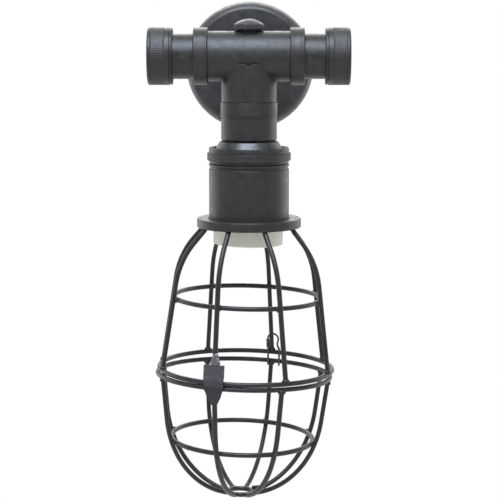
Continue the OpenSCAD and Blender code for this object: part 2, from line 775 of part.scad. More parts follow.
module cup_gasket() color(rubber) on_axis(z_clamp - clamp_t - gasket_t)
    ring(clamp_d, thread_d - 2 * spigot_wall, gasket_t, thin_edge);

collar_edge = 0.5;
collar_clear = 0.6;

module knurled_collar() color(blacks) on_axis(z_collar - collar_h) {
    band_low = collar_tail_h;
    band_top = collar_tail_h + collar_band_h;
    band_r = collar_d / 2;
    thread_r = thread_d / 2 + fit;
    rim_r = cup_low_d / 2 + collar_clear;
    rotate_extrude() polygon([[thread_r, 0], [collar_tail_d / 2, 0],
        [collar_tail_d / 2, band_low], [band_r - collar_edge, band_low],
        [band_r, band_low + collar_edge], [band_r, band_top - collar_edge],
        [band_r - collar_edge, band_top], [collar_lip_d / 2, band_top],
        [collar_lip_d / 2, collar_h - edge], [collar_lip_d / 2 - edge, collar_h],
        [rim_r, collar_h], [rim_r, collar_h - collar_ledge],
        [thread_r, collar_h - collar_ledge]]);
}

// The screws stand just inside the cage's top ring, and their heads carry it
cage_screw_d = 2.4;
screw_r = top_ring_r - wire_r - cage_screw_d / 2 - face_gap;
screw_head_d = 6.2;
screw_head_h = 1.6;
screw_bite = 1.8;

skirt_play = 0.5;
flange_edge = 0.5;
flange_round = 1.2;
foot_out = 1;
foot_h = 0.8;
bead_edge = 0.5;
bore_taper = 3;

module housing() color(blacks) on_axis(z_cage) difference() {
    rotate_extrude() {
        housing_r = housing_d / 2;
        mouth_r = skirt_d / 2 + skirt_play;
        thread_r = thread_d / 2 - fit;
        throat_r = thread_d / 2 - spigot_wall;
        spigot = z_spigot - z_cage;
        top = z_bead - z_cage;
        cylinder_top = z_cylinder - z_cage;
        groove_r = housing_r - groove_depth;
        bead = cylinder_top + groove_h;
        polygon(concat([[mouth_r, 0], [channel_in_r, 0], [channel_in_r, channel_roof],
            [channel_out_r, channel_roof], [channel_out_r, 0],
            [flange_d / 2 - flange_edge, 0], [flange_d / 2, flange_edge]],
            rounded(flange_d / 2, flange_h, flange_round),
            [[housing_r + foot_out, flange_h], [housing_r + foot_out, flange_h + foot_h],
            [housing_r, flange_h + foot_h], [housing_r, cylinder_top - bead_edge],
            [housing_r - bead_edge, cylinder_top], [groove_r, cylinder_top], [groove_r, bead],
            [housing_r - bead_edge, bead], [housing_r, bead + bead_edge],
            [housing_r, top - bead_edge], [housing_r - bead_edge, top],
            [thread_r, top], [thread_r, spigot], [throat_r, spigot], [throat_r, top],
            [housing_bore_d / 2, top - bore_taper], [housing_bore_d / 2, flange_h],
            [mouth_r, flange_h]]));
    }
    for (a = [45:90:315]) rotate([0, 0, a]) translate([screw_r, 0, channel_roof - over])
        cylinder(d = cage_screw_d + 2 * fit, h = screw_bite + fit + over);
}

// ---- lampholder -------------------------------------------------------------

cap_top_r = 11;
cap_shoulder_r = 15;
cap_shoulder_h = 2;
cap_side_h = 7;
contact_bore_d = 17;
contact_room = 6;
contact_t = 0.6;
contact_w = 6;
contact_drop = 4;
contact_foot_d = 5;
holder_screw_x = 11;
holder_screw_d = 2.8;
holder_screw_l = 7;
holder_screw_hole = 8;
holder_head_d = 5;
holder_head_h = 1.6;
skirt_roof = 6;
skirt_edge = 0.3;

// A bell of even thickness over the lampholder's body
module holder_cap() color(white) on_axis(z_holder_top) rotate_extrude() polygon([
    [nipple_d / 2 + fit, holder_cap_h], [cap_top_r, holder_cap_h],
    [cap_shoulder_r, holder_cap_h - cap_shoulder_h], [holder_d / 2, cap_side_h],
    [holder_d / 2, 0], [holder_d / 2 - cap_wall, 0],
    [holder_d / 2 - cap_wall, cap_side_h - cap_wall / 2],
    [cap_shoulder_r - cap_wall / 2, holder_cap_h - cap_shoulder_h - cap_wall],
    [nipple_d / 2 + fit, holder_cap_h - cap_shoulder_h - cap_wall]]);

module holder_body() color(white) on_axis(z_holder) difference() {
    cylinder(d = holder_d, h = holder_h);
    translate([0, 0, -over])
        cylinder(d = shell_bore_d + 2 * shell_wall + 2 * fit, h = shell_l + holder_lip + over);
    translate([0, 0, -over])
        cylinder(d = contact_bore_d, h = shell_l + holder_lip + contact_room + over);
    for (x = [-1, 1])
        translate([x * holder_screw_x, 0, holder_h - holder_screw_hole])
            cylinder(d = holder_screw_d + 4 * fit, h = holder_screw_hole + over);
}

module screw_shell() color(brass) on_axis(z_shell)
    tube(shell_bore_d + 2 * shell_wall, shell_bore_d, shell_l);

// The sprung tongue that touches the lamp's foot
module centre_contact() color(brass) on_axis(z_shell + shell_l + contact_room - contact_t) {
    intersection() {
        cylinder(d = contact_bore_d - 4 * fit, h = contact_t);
        translate([-contact_bore_d / 2, -contact_w / 2, 0])
            cube([contact_bore_d, contact_w, contact_t]);
    }
    translate([0, 0, contact_t - contact_drop])
        cylinder(d = contact_foot_d, h = contact_drop - contact_t / 2);
}

module holder_screws() color(steel) on_axis(z_holder_top) for (x = [-1, 1])
    translate([x * holder_screw_x, 0, -holder_screw_l]) {
        cylinder(d = holder_screw_d, h = holder_screw_l);
        translate([0, 0, holder_screw_l]) cylinder(d = holder_head_d, h = holder_head_h);
    }

module skirt() color(cream) on_axis(z_skirt) {
    inner_r = skirt_d / 2 - skirt_wall;
    holder_r = holder_d / 2 + fit;
    rotate_extrude() polygon([[inner_r, 0], [skirt_d / 2 - skirt_edge, 0],
        [skirt_d / 2, skirt_edge], [skirt_d / 2, skirt_h], [holder_r, skirt_h],
        [holder_r, skirt_h - skirt_roof], [inner_r, skirt_h - skirt_roof]]);
}

module head_cable() color(rubber) on_axis(z_holder_top)
    cylinder(d = cable_d, h = z_nipple + cable_lap - z_holder_top);

// ---- cage -------------------------------------------------------------------

module cage_top_ring() color(wire_colour) on_axis(z_cage)
    translate([0, 0, channel_roof / 2]) torus(top_ring_r, wire_r);

module cage_screws() color(steel) on_axis(z_cage) for (a = [45:90:315])
    rotate([0, 0, a]) translate([screw_r, 0, -screw_head_h]) {
        cylinder(d = screw_head_d, h = screw_head_h);
        cylinder(d = cage_screw_d, h = screw_head_h + channel_roof + screw_bite);
    }

module wires(path, skew, sway) for (i = [0:wire_n - 1])
    rotate([0, 0, wire_turn + (i + 0.5) * wire_pitch + skew[i % len(skew)]])
        swept_wire(swayed(path, sway[i % len(sway)]), wire_r);

module upper_wires() color(wire_colour) on_cage() wires(upper_path, upper_skew, upper_sway);

module upper_ring() color(wire_colour) on_cage()
    translate([0, 0, -upper_ring_depth]) torus(upper_ring_r, wire_r);

module upper_hoop() color(wire_colour) on_cage()
    translate([0, 0, -hoop_depth]) torus(hoop_r, wire_r);

module lower_hoop() color(wire_colour) on_basket() torus(hoop_r, wire_r);

module lower_ring() color(wire_colour) on_basket()
    translate([0, 0, -basket_ring_depth]) torus(lower_ring_r, wire_r);

module bottom_ring() color(wire_colour) on_basket()
    translate([0, 0, -basket_depth]) torus(bottom_ring_r, wire_r);

module lower_wires() color(wire_colour) on_basket() wires(lower_path, lower_skew, lower_sway);

// ---- latch ------------------------------------------------------------------

// The plate hangs outside both hoops, from a weld on the wire that it covers. A
// height is counted from the middle of the upper hoop.
latch_clear = 0.3;
latch_in = hoop_r + wire_r + latch_clear;
latch_low = latch_down + latch_tongue;
latch_swell = 3.5;
tongue_out = 0.8;
function wire_face_r(h) = hoop_r - (h - butt_step) * tan(upper_slope)
    + wire_r / cos(upper_slope);
latch_top_in = wire_face_r(latch_up) + latch_clear;
swell_h = wire_r + latch_swell;
latch_back = [[latch_top_in, latch_up], [wire_face_r(swell_h) + latch_clear, swell_h],
    [latch_in, wire_r], [latch_in, -latch_down], [latch_in + tongue_out, -latch_low]];

module latch_plate() color(blacks) on_cage() translate([0, 0, -hoop_depth])
    rotate([0, 0, latch_at]) intersection() {
        rotate([90, 0, 0]) linear_extrude(height = latch_w + 2 * over, center = true)
            polygon(concat(latch_back,
                [for (i = [4:-1:0]) latch_back[i] + [latch_t, 0]]));
        translate([hoop_r, 0, 0]) rotate([90, 0, 90])
            linear_extrude(height = 2 * latch_w, center = true)
            polygon([[-latch_w / 2, latch_up], [latch_w / 2, latch_up],
                [latch_w / 2, -latch_down], [latch_tip_w / 2, -latch_low],
                [-latch_tip_w / 2, -latch_low], [-latch_w / 2, -latch_down]]);
    }

// The weld that runs from the wire out to the plate's top edge
root_h = 6;
root_w = 9;
root_tip_w = 3;
root_skin = 0.8;

module latch_root() color(blacks) on_cage() translate([0, 0, -hoop_depth])
    rotate([0, 0, latch_at]) hull() {
        translate([wire_face_r(latch_up) - weld_bite, -root_w / 2, latch_up + face_gap])
            cube([latch_clear + weld_bite + latch_t / 2, root_w, root_skin]);
        translate([wire_face_r(latch_up + root_h) - weld_bite, -root_tip_w / 2,
            latch_up + root_h]) cube([weld_bite + root_skin, root_tip_w, root_skin]);
    }

// ---- hinge ------------------------------------------------------------------

// A bent spring wire: a link round both hoops on each side of the upright wires, and
// a loop that stands up behind them. The left link clears the basket's own wire.
hinge_r = hinge_wire_d / 2;
link_clear = 0.6;
link_r = wire_r + hinge_r + link_clear;
link_gap = 0.3;
basket_wire_y = basket_slip + hoop_r * sin(lower_skew[hinge_wire_i]);
link_left = basket_wire_y + wire_r + hinge_r + link_gap;
link_right = hinge_w - link_left;
link_drop = wire_d + hinge_gap;
loop_steps = 8;
function half_turn(r, from) = [for (i = [0:loop_steps]) let (a = from + 180 * i / loop_steps)
    r * [cos(a), sin(a)]];

module hinge_link() swept_wire(upright(concat(half_turn(link_r, 0),
    [for (p = half_turn(link_r, 180)) p - [0, link_drop]])),
    hinge_r, closed = true, sides = 8);

// The right leg of the loop is bent inwards and comes back to its link lower down
loop_narrow = 1.3;
loop_bend_in = [1.7, 0.2];
loop_bend_at = [0.4, 0.15];

module hinge_loop() {
    arc_r = (hinge_w - loop_narrow) / 2;
    swept_wire(upright(concat([[link_left, 0]],
        [for (p = half_turn(arc_r, 0)) p + [link_left - arc_r, hinge_loop_h - arc_r]],
        [for (k = [0, 1]) [loop_bend_in[k] - link_right, loop_bend_at[k] * hinge_loop_h]],
        [[-link_right, 0]])), hinge_r, sides = 8);
}

module hinge_wire() color(blacks) on_cage() translate([0, 0, -hoop_depth])
    rotate([0, 0, latch_at + 180]) {
        for (y = [link_left, -link_right]) translate([hoop_r, y, 0]) hinge_link();
        translate([hoop_r + link_r, 0, 0]) rotate([0, -upper_slope, 0])
            rotate([0, 0, 90]) hinge_loop();
    }

// ---- what is drawn ----------------------------------------------------------

wall_bracket();
earth_screw();
rose();
rose_screws();
terminal_block();
terminal_inserts();
terminal_screws();
arm_tube();
arm_nut();
arm_base_ring();
arm_lock_ring();
tee_body();
band_left();
band_right();
neck_left();
neck_right();
knob_seat();
switch_body();
switch_nut();
drop_tube();
coupling_ring();
sleeve();
supply_cable();
end_cap_left();
end_cap_right();
knob();
switch_spindle();
swivel_nipple();
swivel_nut();
swivel_washer();
holder_cup();
cup_nut();
cup_gasket();
housing();
holder_cap();
holder_body();
screw_shell();
centre_contact();
holder_screws();
skirt();
head_cable();
cage_top_ring();
cage_screws();
upper_wires();
upper_ring();
upper_hoop();
hinge_wire();
latch_root();
knurled_collar();
latch_plate();
lower_hoop();
lower_ring();
bottom_ring();
lower_wires();
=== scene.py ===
# %% [markdown]
# # A cage wall light
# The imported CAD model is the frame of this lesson: its parts already have their true
# size and place. Blender adds what a close look shows: knurls, welds, turned lines,
# bent wire and paint. Sizes in this file are in millimetres and become metres at the
# last moment, because the frame is in metres.

# %% Load the frame
import json
import math

import bpy
from mathutils import Matrix, Vector


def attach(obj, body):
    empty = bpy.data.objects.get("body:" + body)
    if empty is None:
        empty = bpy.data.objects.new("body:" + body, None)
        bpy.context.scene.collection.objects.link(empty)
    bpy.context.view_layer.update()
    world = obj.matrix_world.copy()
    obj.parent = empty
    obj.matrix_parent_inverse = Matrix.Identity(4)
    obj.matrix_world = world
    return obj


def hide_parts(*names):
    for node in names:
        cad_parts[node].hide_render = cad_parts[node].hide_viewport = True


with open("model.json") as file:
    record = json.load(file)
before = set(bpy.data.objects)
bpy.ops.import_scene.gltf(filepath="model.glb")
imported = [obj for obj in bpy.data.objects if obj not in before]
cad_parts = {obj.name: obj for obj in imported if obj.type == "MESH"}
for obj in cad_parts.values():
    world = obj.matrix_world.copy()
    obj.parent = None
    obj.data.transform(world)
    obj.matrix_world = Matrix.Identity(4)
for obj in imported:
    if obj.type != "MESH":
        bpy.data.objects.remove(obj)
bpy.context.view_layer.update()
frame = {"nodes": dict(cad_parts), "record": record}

# %% [markdown]
# Three small helpers come first. mm turns millimetres into metres. deselect_all leaves
# nothing selected, because an operator acts on everything that is selected and loading
# the frame leaves all its parts selected. pick leaves one piece selected and active.

# %% Small helpers
MM = 0.001
LAMP_X, LAMP_Y = 0, -95


def mm(x, y, z):
    return (x * MM, y * MM, z * MM)


def deselect_all():
    if bpy.context.mode != "OBJECT":
        bpy.ops.object.mode_set(mode="OBJECT")
    bpy.ops.object.select_all(action="DESELECT")


def pick(piece):
    deselect_all()
    piece.select_set(True)
    bpy.context.view_layer.objects.active = piece


# %% [markdown]
# The photograph was taken with a long lens from a little above the light. The camera
# is placed by the ellipses of the cage's rings: their flatness gives the tilt, and the
# growth of the near wires against the far ones gives the distance.

# %% Camera
CAMERA_AT = (13, -1516, 37.6)
LENS_MM = 120.4
LOOK_DOWN_DEG = 7.72
LOOK_LEFT_DEG = 0.49
NEAREST_SEEN = 50

bpy.ops.object.camera_add(
    location=mm(*CAMERA_AT),
    rotation=(math.radians(90 - LOOK_DOWN_DEG), 0, math.radians(LOOK_LEFT_DEG)),
)
camera = bpy.context.object
camera.name = "photo_camera"
camera.data.lens = LENS_MM
camera.data.clip_start = NEAREST_SEEN * MM
bpy.context.scene.camera = camera
print("camera at", tuple(round(c, 3) for c in camera.location))

# %% [markdown]
# A product photo on white is lit by large soft panels. The white all round is what the
# camera sees and what the glossy paint mirrors, so the edges of every tube turn pale.
# For diffuse light the same world is dimmer, which keeps colours as they are written.

# %% White surroundings
WORLD_LIGHT = 0.46
WORLD_COLOUR = (1.0, 0.985, 0.95, 1)
WHITE = (1, 1, 1, 1)

scene = bpy.context.scene
scene.view_settings.view_transform = "Standard"
world = bpy.data.worlds.new("white_studio")
scene.world = world
world.use_nodes = True
nodes, links = world.node_tree.nodes, world.node_tree.links
nodes.clear()
lit_by = nodes.new("ShaderNodeBackground")
lit_by.inputs["Color"].default_value = WORLD_COLOUR
lit_by.inputs["Strength"].default_value = WORLD_LIGHT
seen_as = nodes.new("ShaderNodeBackground")
seen_as.inputs["Color"].default_value = WHITE
rays = nodes.new("ShaderNodeLightPath")
camera_or_gloss = nodes.new("ShaderNodeMath")
camera_or_gloss.operation = "MAXIMUM"
or_glass = nodes.new("ShaderNodeMath")
or_glass.operation = "MAXIMUM"
mix = nodes.new("ShaderNodeMixShader")
out = nodes.new("ShaderNodeOutputWorld")
links.new(rays.outputs["Is Camera Ray"], camera_or_gloss.inputs[0])
links.new(rays.outputs["Is Glossy Ray"], camera_or_gloss.inputs[1])
links.new(camera_or_gloss.outputs[0], or_glass.inputs[0])
links.new(rays.outputs["Is Transmission Ray"], or_glass.inputs[1])
links.new(or_glass.outputs[0], mix.inputs["Fac"])
links.new(lit_by.outputs[0], mix.inputs[1])
links.new(seen_as.outputs[0], mix.inputs[2])
links.new(mix.outputs[0], out.inputs["Surface"])
print("the world lights at", WORLD_LIGHT, "and is seen as white")

# %% [markdown]
# Four square area lamps stand for the panels. The bright one is in front and high up, a
# little to the left, and bluish as a window is. Two weak ones stand behind, left and
# right, and one more is behind and above.

# %% Soft panels
AIM = Vector(mm(LAMP_X, LAMP_Y, -60))
PANEL_SIZE = 1200


def soft_panel(name, place, watts, colour):
    """An area lamp that faces the light fitting."""
    bpy.ops.object.light_add(type="AREA", location=mm(*place))
    lamp = bpy.context.object
    lamp.name = name
    lamp.data.size = PANEL_SIZE * MM
    lamp.data.energy = watts
    lamp.data.color = colour
    lamp.rotation_euler = (AIM - lamp.location).to_track_quat("-Z", "Y").to_euler()
    print(name, "gives", watts, "W")


soft_panel("window_panel", (-120, -850, 1330), 56, (0.74, 0.83, 1.0))
soft_panel("left_panel", (-1230, 760, 0), 5, (0.95, 0.98, 1.0))
soft_panel("right_panel", (1230, 760, 0), 5, (1.0, 0.99, 0.95))
soft_panel("back_panel", (0, 1500, 850), 13, (1.0, 1.0, 1.0))

# %% [markdown]
# The light hangs on a wall, so nothing stands on the floor. The floor lies a little way
# below, outside the photograph's frame, and catches the soft shadow in other views. For
# the camera alone it also glows a little.

# %% Pale floor
FLOOR_R, FLOOR_Y, FLOOR_Z = 2200, -1750, -560
FLOOR_COLOUR = (0.86, 0.845, 0.81, 1)
FLOOR_GLOW = (0.2, 0.2, 0.2, 1)
FLOOR_ROUGHNESS = 0.9

deselect_all()
bpy.ops.mesh.primitive_circle_add(
    vertices=96, radius=FLOOR_R * MM, fill_type="NGON", location=mm(0, FLOOR_Y, FLOOR_Z)
)
floor = bpy.context.object
floor.name = "floor"
floor_paint = bpy.data.materials.new("pale_floor")
floor_paint.use_nodes = True
nodes, links = floor_paint.node_tree.nodes, floor_paint.node_tree.links
floor_shader = nodes["Principled BSDF"]
floor_shader.inputs["Base Color"].default_value = FLOOR_COLOUR
floor_shader.inputs["Roughness"].default_value = FLOOR_ROUGHNESS
rays = nodes.new("ShaderNodeLightPath")
links.new(rays.outputs["Is Camera Ray"], floor_shader.inputs["Emission Strength"])
floor_shader.inputs["Emission Color"].default_value = FLOOR_GLOW
floor.data.materials.append(floor_paint)
print("the floor lies at", FLOOR_Z, "mm")

# %% [markdown]
# Paint and metal are never one flat value. Each finish below has the same three parts:
# slow clouds in the colour, the same clouds in the gloss, and a fine grain that only
# bends the reflections. They read Object coordinates, and every finished piece lies at
# the origin, so a pattern has the same scale on all pieces.

# %% A finish with clouds and grain
NOISE_LOW, NOISE_HIGH = 0.3, 0.7
GLOSSIEST, DULLEST = 0.8, 1.25
CLOUD_DETAIL, GRAIN_DETAIL = 4, 2


def finish(name, colour, roughness, clouds, grain, metallic=0.0, mirror=0.5):
    """clouds is (size in mm, share of the colour), grain is (size in mm, depth in mm)."""
    material = bpy.data.materials.new(name)
    material.use_nodes = True
    nodes, links = material.node_tree.nodes, material.node_tree.links
    shader = nodes["Principled BSDF"]
    where = nodes.new("ShaderNodeTexCoord")
    cloud = nodes.new("ShaderNodeTexNoise")
    cloud.inputs["Scale"].default_value = 1 / (clouds[0] * MM)
    cloud.inputs["Detail"].default_value = CLOUD_DETAIL
    shade = nodes.new("ShaderNodeValToRGB")
    for stop, noise, share in ((0, NOISE_LOW, -clouds[1]), (1, NOISE_HIGH, clouds[1])):
        element = shade.color_ramp.elements[stop]
        element.position = noise
        element.color = (*[c * (1 + share) for c in colour], 1)
    gloss = nodes.new("ShaderNodeMapRange")
    gloss.inputs["From Min"].default_value = NOISE_LOW
    gloss.inputs["From Max"].default_value = NOISE_HIGH
    gloss.inputs["To Min"].default_value = roughness * GLOSSIEST
    gloss.inputs["To Max"].default_value = roughness * DULLEST
    grains = nodes.new("ShaderNodeTexNoise")
    grains.inputs["Scale"].default_value = 1 / (grain[0] * MM)
    grains.inputs["Detail"].default_value = GRAIN_DETAIL
    bump = nodes.new("ShaderNodeBump")
    bump.inputs["Distance"].default_value = grain[1] * MM
    links.new(where.outputs["Object"], cloud.inputs["Vector"])
    links.new(where.outputs["Object"], grains.inputs["Vector"])
    links.new(cloud.outputs["Fac"], shade.inputs["Fac"])
    links.new(cloud.outputs["Fac"], gloss.inputs["Value"])
    links.new(grains.outputs["Fac"], bump.inputs["Height"])
    links.new(shade.outputs["Color"], shader.inputs["Base Color"])
    links.new(gloss.outputs["Result"], shader.inputs["Roughness"])
    links.new(bump.outputs["Normal"], shader.inputs["Normal"])
    shader.inputs["Metallic"].default_value = metallic
    shader.inputs["Specular IOR Level"].default_value = mirror
    return material


# %% [markdown]
# The black paint has several looks. The wires have nearly the same black as the turned
# parts. A paler copy of the black is painted light on the rose and the knob. It is
# blotchy on the necks, which look handled, and smoother on the cup. The seat under the
# knob is painted shadow: its finish is dark and mirrors nothing.
# The latch has a steel of its own, because painted shade darkens its foot later, and the
# weld that holds it looks bare.

# %% The finishes
STEEL_LOOK = ((0.043, 0.043, 0.049), 0.40, (3, 0.2), (0.4, 0.015), 0.25)

finishes = {
    "black_coat": finish(
        "black_powder_coat", (0.0125, 0.0115, 0.0110), 0.40, (6, 0.3), (0.9, 0.03),
        mirror=0.38,
    ),
    "wire_coat": finish(
        "dipped_wire_coat", (0.013, 0.0123, 0.012), 0.34, (4, 0.3), (0.7, 0.04),
        mirror=0.30,
    ),
    "spring_steel": finish("dark_spring_steel", *STEEL_LOOK),
    "zinc_steel": finish(
        "zinc_plate", (0.62, 0.63, 0.66), 0.32, (3, 0.12), (0.5, 0.01), metallic=1.0
    ),
    "brass": finish(
        "turned_brass", (0.72, 0.50, 0.20), 0.28, (5, 0.1), (0.5, 0.01), metallic=1.0
    ),
    "white_ceramic": finish(
        "glazed_ceramic", (0.80, 0.80, 0.77), 0.22, (9, 0.03), (1.5, 0.02)
    ),
    "cream_plastic": finish(
        "cream_moulding", (0.62, 0.60, 0.51), 0.42, (8, 0.05), (0.6, 0.015)
    ),
    "black_plastic": finish(
        "black_moulding", (0.02, 0.02, 0.02), 0.45, (5, 0.1), (0.5, 0.02)
    ),
    "rubber": finish(
        "cable_rubber", (0.016, 0.016, 0.016), 0.6, (3, 0.15), (0.4, 0.03)
    ),
}
latch_steel = finish("latch_steel", *STEEL_LOOK)
bare_weld = finish(
    "bare_weld", (0.11, 0.11, 0.12), 0.34, (2, 0.4), (0.8, 0.04), metallic=0.5
)
# Painted shadow: the knob seat's dark finish mirrors nothing.
painted_shadow_seat = finish(
    "knob_seat_painted_shadow", (0.018, 0.018, 0.018), 0.9, (3, 0.15), (0.4, 0.03), mirror=0.0
)
handled_coat = finish(
    "handled_powder_coat", (0.014, 0.013, 0.0128), 0.40, (3.5, 0.7), (0.9, 0.03),
    mirror=0.36,
)
# Painted light: a paler copy of the black coat, for the rose and the knob.
painted_light_coat = finish(
    "powder_coat_with_painted_light", (0.024, 0.0235, 0.0235), 0.40, (6, 0.3), (0.9, 0.03),
    mirror=0.42,
)
worn_coat = finish(
    "worn_powder_coat", (0.017, 0.017, 0.018), 0.34, (4, 0.3), (0.9, 0.02), mirror=0.55
)
print(len(finishes), "finishes for the record's slots")

# %% [markdown]
# Parts whose CAD shape is right keep it and only get their finish. The record says which
# slot each part has, and four of them then get their own look.

# %% Paint the parts that stay as they are
for part in frame["record"]["subparts"]:
    for slot in frame["nodes"][part["node"]].material_slots:
        slot.material = finishes[part["material_slot"]]
    print(part["node"], "is", part["material_slot"])
for node, coat in (
    # the knob seat's dark finish is painted shadow
    ("knob_seat", painted_shadow_seat),
    # the rose's paler coat is painted light
    ("rose", painted_light_coat),
    ("neck_left", handled_coat),
    ("neck_right", handled_coat),
):
    frame["nodes"][node].material_slots[0].material = coat

# %% [markdown]
# A finished piece lies at the origin with its place in its mesh, as the CAD parts do. So
# a piece is modelled where that is easy, and a matrix then carries it to its place. These
# helpers make such matrices, and settle moves a piece's own place into its mesh.

# %% Turns and places
def turn(degrees, axis):
    return Matrix.Rotation(math.radians(degrees), 4, axis)


def shift(x, y, z):
    return Matrix.Translation(mm(x, y, z))


def on_axis(z):
    """A place on the lamp's axis, at a height."""
    return shift(LAMP_X, LAMP_Y, z)


def settle(piece):
    """Moves a piece's own place, turn and scale into its mesh."""
    pick(piece)
    bpy.ops.object.transform_apply(location=True, rotation=True, scale=True)


# %% [markdown]
# The next helpers finish a piece: they close its mesh, select some of its corners, join
# several pieces, and put the result in place. hand_over hides the CAD part it stands for.

# %% Finishing and handing over
MERGE_WITHIN = 0.001


def close_up():
    """Merges what meets, turns faces outwards, and leaves edit mode."""
    bpy.ops.mesh.select_all(action="SELECT")
    bpy.ops.mesh.remove_doubles(threshold=MERGE_WITHIN * MM)
    bpy.ops.mesh.normals_make_consistent(inside=False)
    bpy.ops.object.mode_set(mode="OBJECT")


def select_corners(piece, wanted):
    """Selects the corners whose place in mm passes a test, and stays in edit mode."""
    pick(piece)
    bpy.ops.object.mode_set(mode="EDIT")
    bpy.ops.mesh.select_mode(type="VERT")
    bpy.ops.mesh.select_all(action="DESELECT")
    bpy.ops.object.mode_set(mode="OBJECT")
    for corner in piece.data.vertices:
        corner.select = wanted(*[c / MM for c in corner.co])
    bpy.ops.object.mode_set(mode="EDIT")


def join(pieces):
    """Makes one piece of several, named as the first."""
    pick(pieces[0])
    for piece in pieces:
        piece.select_set(True)
    bpy.ops.object.join()
    return pieces[0]


def place(piece, matrix, smooth_deg):
    """Puts a piece where matrix says, and smooths edges blunter than smooth_deg."""
    piece.matrix_world = matrix
    settle(piece)
    bpy.ops.object.shade_smooth_by_angle(angle=math.radians(smooth_deg))
    return piece


def hand_over(piece, body, slot, node, coat=None):
    """Paints a piece, ties it to its body, and hides the CAD part it stands for."""
    piece.data.materials.clear()
    piece.data.materials.append(coat or finishes[slot])
    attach(piece, body)
    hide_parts(node)
    print(piece.name, "has", len(piece.data.polygons), "faces and rides on", body)


# %% [markdown]
# A turned part is modelled as it is made, from half its outline. One point is extruded
# along the outline, and the outline is spun once round. The same helper serves the caps,
# bands, coupling, sleeve, cup, collar and skirt.

# %% Turning a part
ROUND_STEPS = 128
TURNED_SMOOTH_DEG = 25


def lathe(name, outline):
    """Spins a closed half outline of (radius, height) points round Z."""
    deselect_all()
    bpy.ops.mesh.primitive_plane_add(size=MM)
    piece = bpy.context.object
    piece.name = name
    bpy.ops.object.mode_set(mode="EDIT")
    bpy.ops.mesh.merge(type="CENTER")
    bpy.ops.transform.translate(value=mm(outline[0][0], 0, outline[0][1]))
    for here, there in zip(outline, outline[1:] + outline[:1]):
        step = mm(there[0] - here[0], 0, there[1] - here[1])
        bpy.ops.mesh.extrude_vertices_move(TRANSFORM_OT_translate={"value": step})
    bpy.ops.mesh.select_all(action="SELECT")
    bpy.ops.mesh.remove_doubles(threshold=MERGE_WITHIN * MM)
    bpy.ops.mesh.spin(steps=ROUND_STEPS, angle=math.tau, center=(0, 0, 0), axis=(0, 0, 1))
    close_up()
    return piece


# %% [markdown]
# A knurl is rolled into the metal by two slanted wheels, which leaves rows of small
# pyramids. It starts as a plain band of squares. Each square is poked to its middle, and
# the old edges are dissolved, so that the triangles pair up into diamonds. A second poke
# lifts the middle of each diamond. At last the band is closed behind, so that it is a
# solid ring.

# %% A knurled band
KNURL_WALL = 0.6


def knurl(radius, low, high, around, rows, height):
    """A ring of pyramids between two heights, with their points at the radius."""
    deselect_all()
    start = radius - height
    bpy.ops.mesh.primitive_circle_add(
        vertices=around, radius=start * MM, location=mm(0, 0, low)
    )
    band = bpy.context.object
    bpy.ops.object.mode_set(mode="EDIT")
    for _ in range(rows):
        up = mm(0, 0, (high - low) / rows)
        bpy.ops.mesh.extrude_region_move(TRANSFORM_OT_translate={"value": up})
    bpy.ops.mesh.select_all(action="SELECT")
    bpy.ops.mesh.normals_make_consistent(inside=False)
    bpy.ops.mesh.poke()
    bpy.ops.mesh.select_mode(type="EDGE")
    bpy.ops.mesh.select_all(action="DESELECT")
    bpy.ops.object.mode_set(mode="OBJECT")
    corners = around * (rows + 1)
    for edge in band.data.edges:
        edge.select = max(edge.vertices) < corners
    bpy.ops.object.mode_set(mode="EDIT")
    bpy.ops.mesh.dissolve_edges(use_verts=False)
    bpy.ops.mesh.select_mode(type="FACE")
    bpy.ops.mesh.select_all(action="SELECT")
    bpy.ops.mesh.poke(offset=height * MM)
    bpy.ops.mesh.select_mode(type="EDGE")
    bpy.ops.mesh.select_all(action="DESELECT")
    bpy.ops.mesh.select_non_manifold()
    bpy.ops.mesh.extrude_edges_move(TRANSFORM_OT_translate={"value": (0, 0, 0)})
    inner = (start - KNURL_WALL) / start
    bpy.ops.transform.resize(value=(inner, inner, 1))
    bpy.ops.mesh.bridge_edge_loops()
    bpy.ops.mesh.select_mode(type="VERT")
    close_up()
    return band


# %% [markdown]
# The end caps screw onto the necks. From the outside in, each has a rounded rim, a fine
# groove, the knurl for the fingers, a smooth band, a deeper groove and a thin lip. The
# knurl lies in a shallow seat that the outline leaves for it.

# %% End caps
TUBE_Z = 10
NECK_R = 19.05
BORE_R = NECK_R + 0.05
CAP_X, CAP_L, CAP_R = 64.6, 20.8, 24.2
CAP_ROOF, CAP_FACE_IN = 3.5, 0.8
KNURL_LOW, KNURL_HIGH, KNURL_SEAT = 6.5, 17.7, 0.8
CAP_KNURLS_ROUND, CAP_KNURL_ROWS, CAP_KNURL_H = 78, 6, 0.2

cap_outline = [
    (BORE_R, 0), (CAP_R - 0.6, 0), (CAP_R - 0.25, 0.3), (CAP_R - 0.25, 1.1),
    (CAP_R - 0.5, 1.3), (CAP_R - 0.9, 1.35), (CAP_R - 0.9, 1.95), (CAP_R - 0.45, 2.05),
    (CAP_R, 2.5), (CAP_R, KNURL_LOW - 0.3), (CAP_R - 0.2, KNURL_LOW),
    (CAP_R - KNURL_SEAT, KNURL_LOW), (CAP_R - KNURL_SEAT, KNURL_HIGH),
    (CAP_R - 0.25, KNURL_HIGH), (CAP_R - 0.1, KNURL_HIGH + 0.2),
    (CAP_R, KNURL_HIGH + 0.6), (CAP_R, CAP_L - 1.5), (CAP_R - 0.25, CAP_L - 0.8),
    (CAP_R - 0.8, CAP_L - 0.25), (CAP_R - 1.5, CAP_L), (18.6, CAP_L),
    (18.2, CAP_L - 0.2), (18.1, CAP_L - CAP_FACE_IN), (0, CAP_L - CAP_FACE_IN),
    (0, CAP_L - CAP_ROOF), (BORE_R, CAP_L - CAP_ROOF),
]


def along_tube(side, x):
    """A turned piece's own Z runs out along the cross tube, to the left or right."""
    return shift(LAMP_X + side * x, LAMP_Y, TUBE_Z) @ turn(side * 90, "Y")


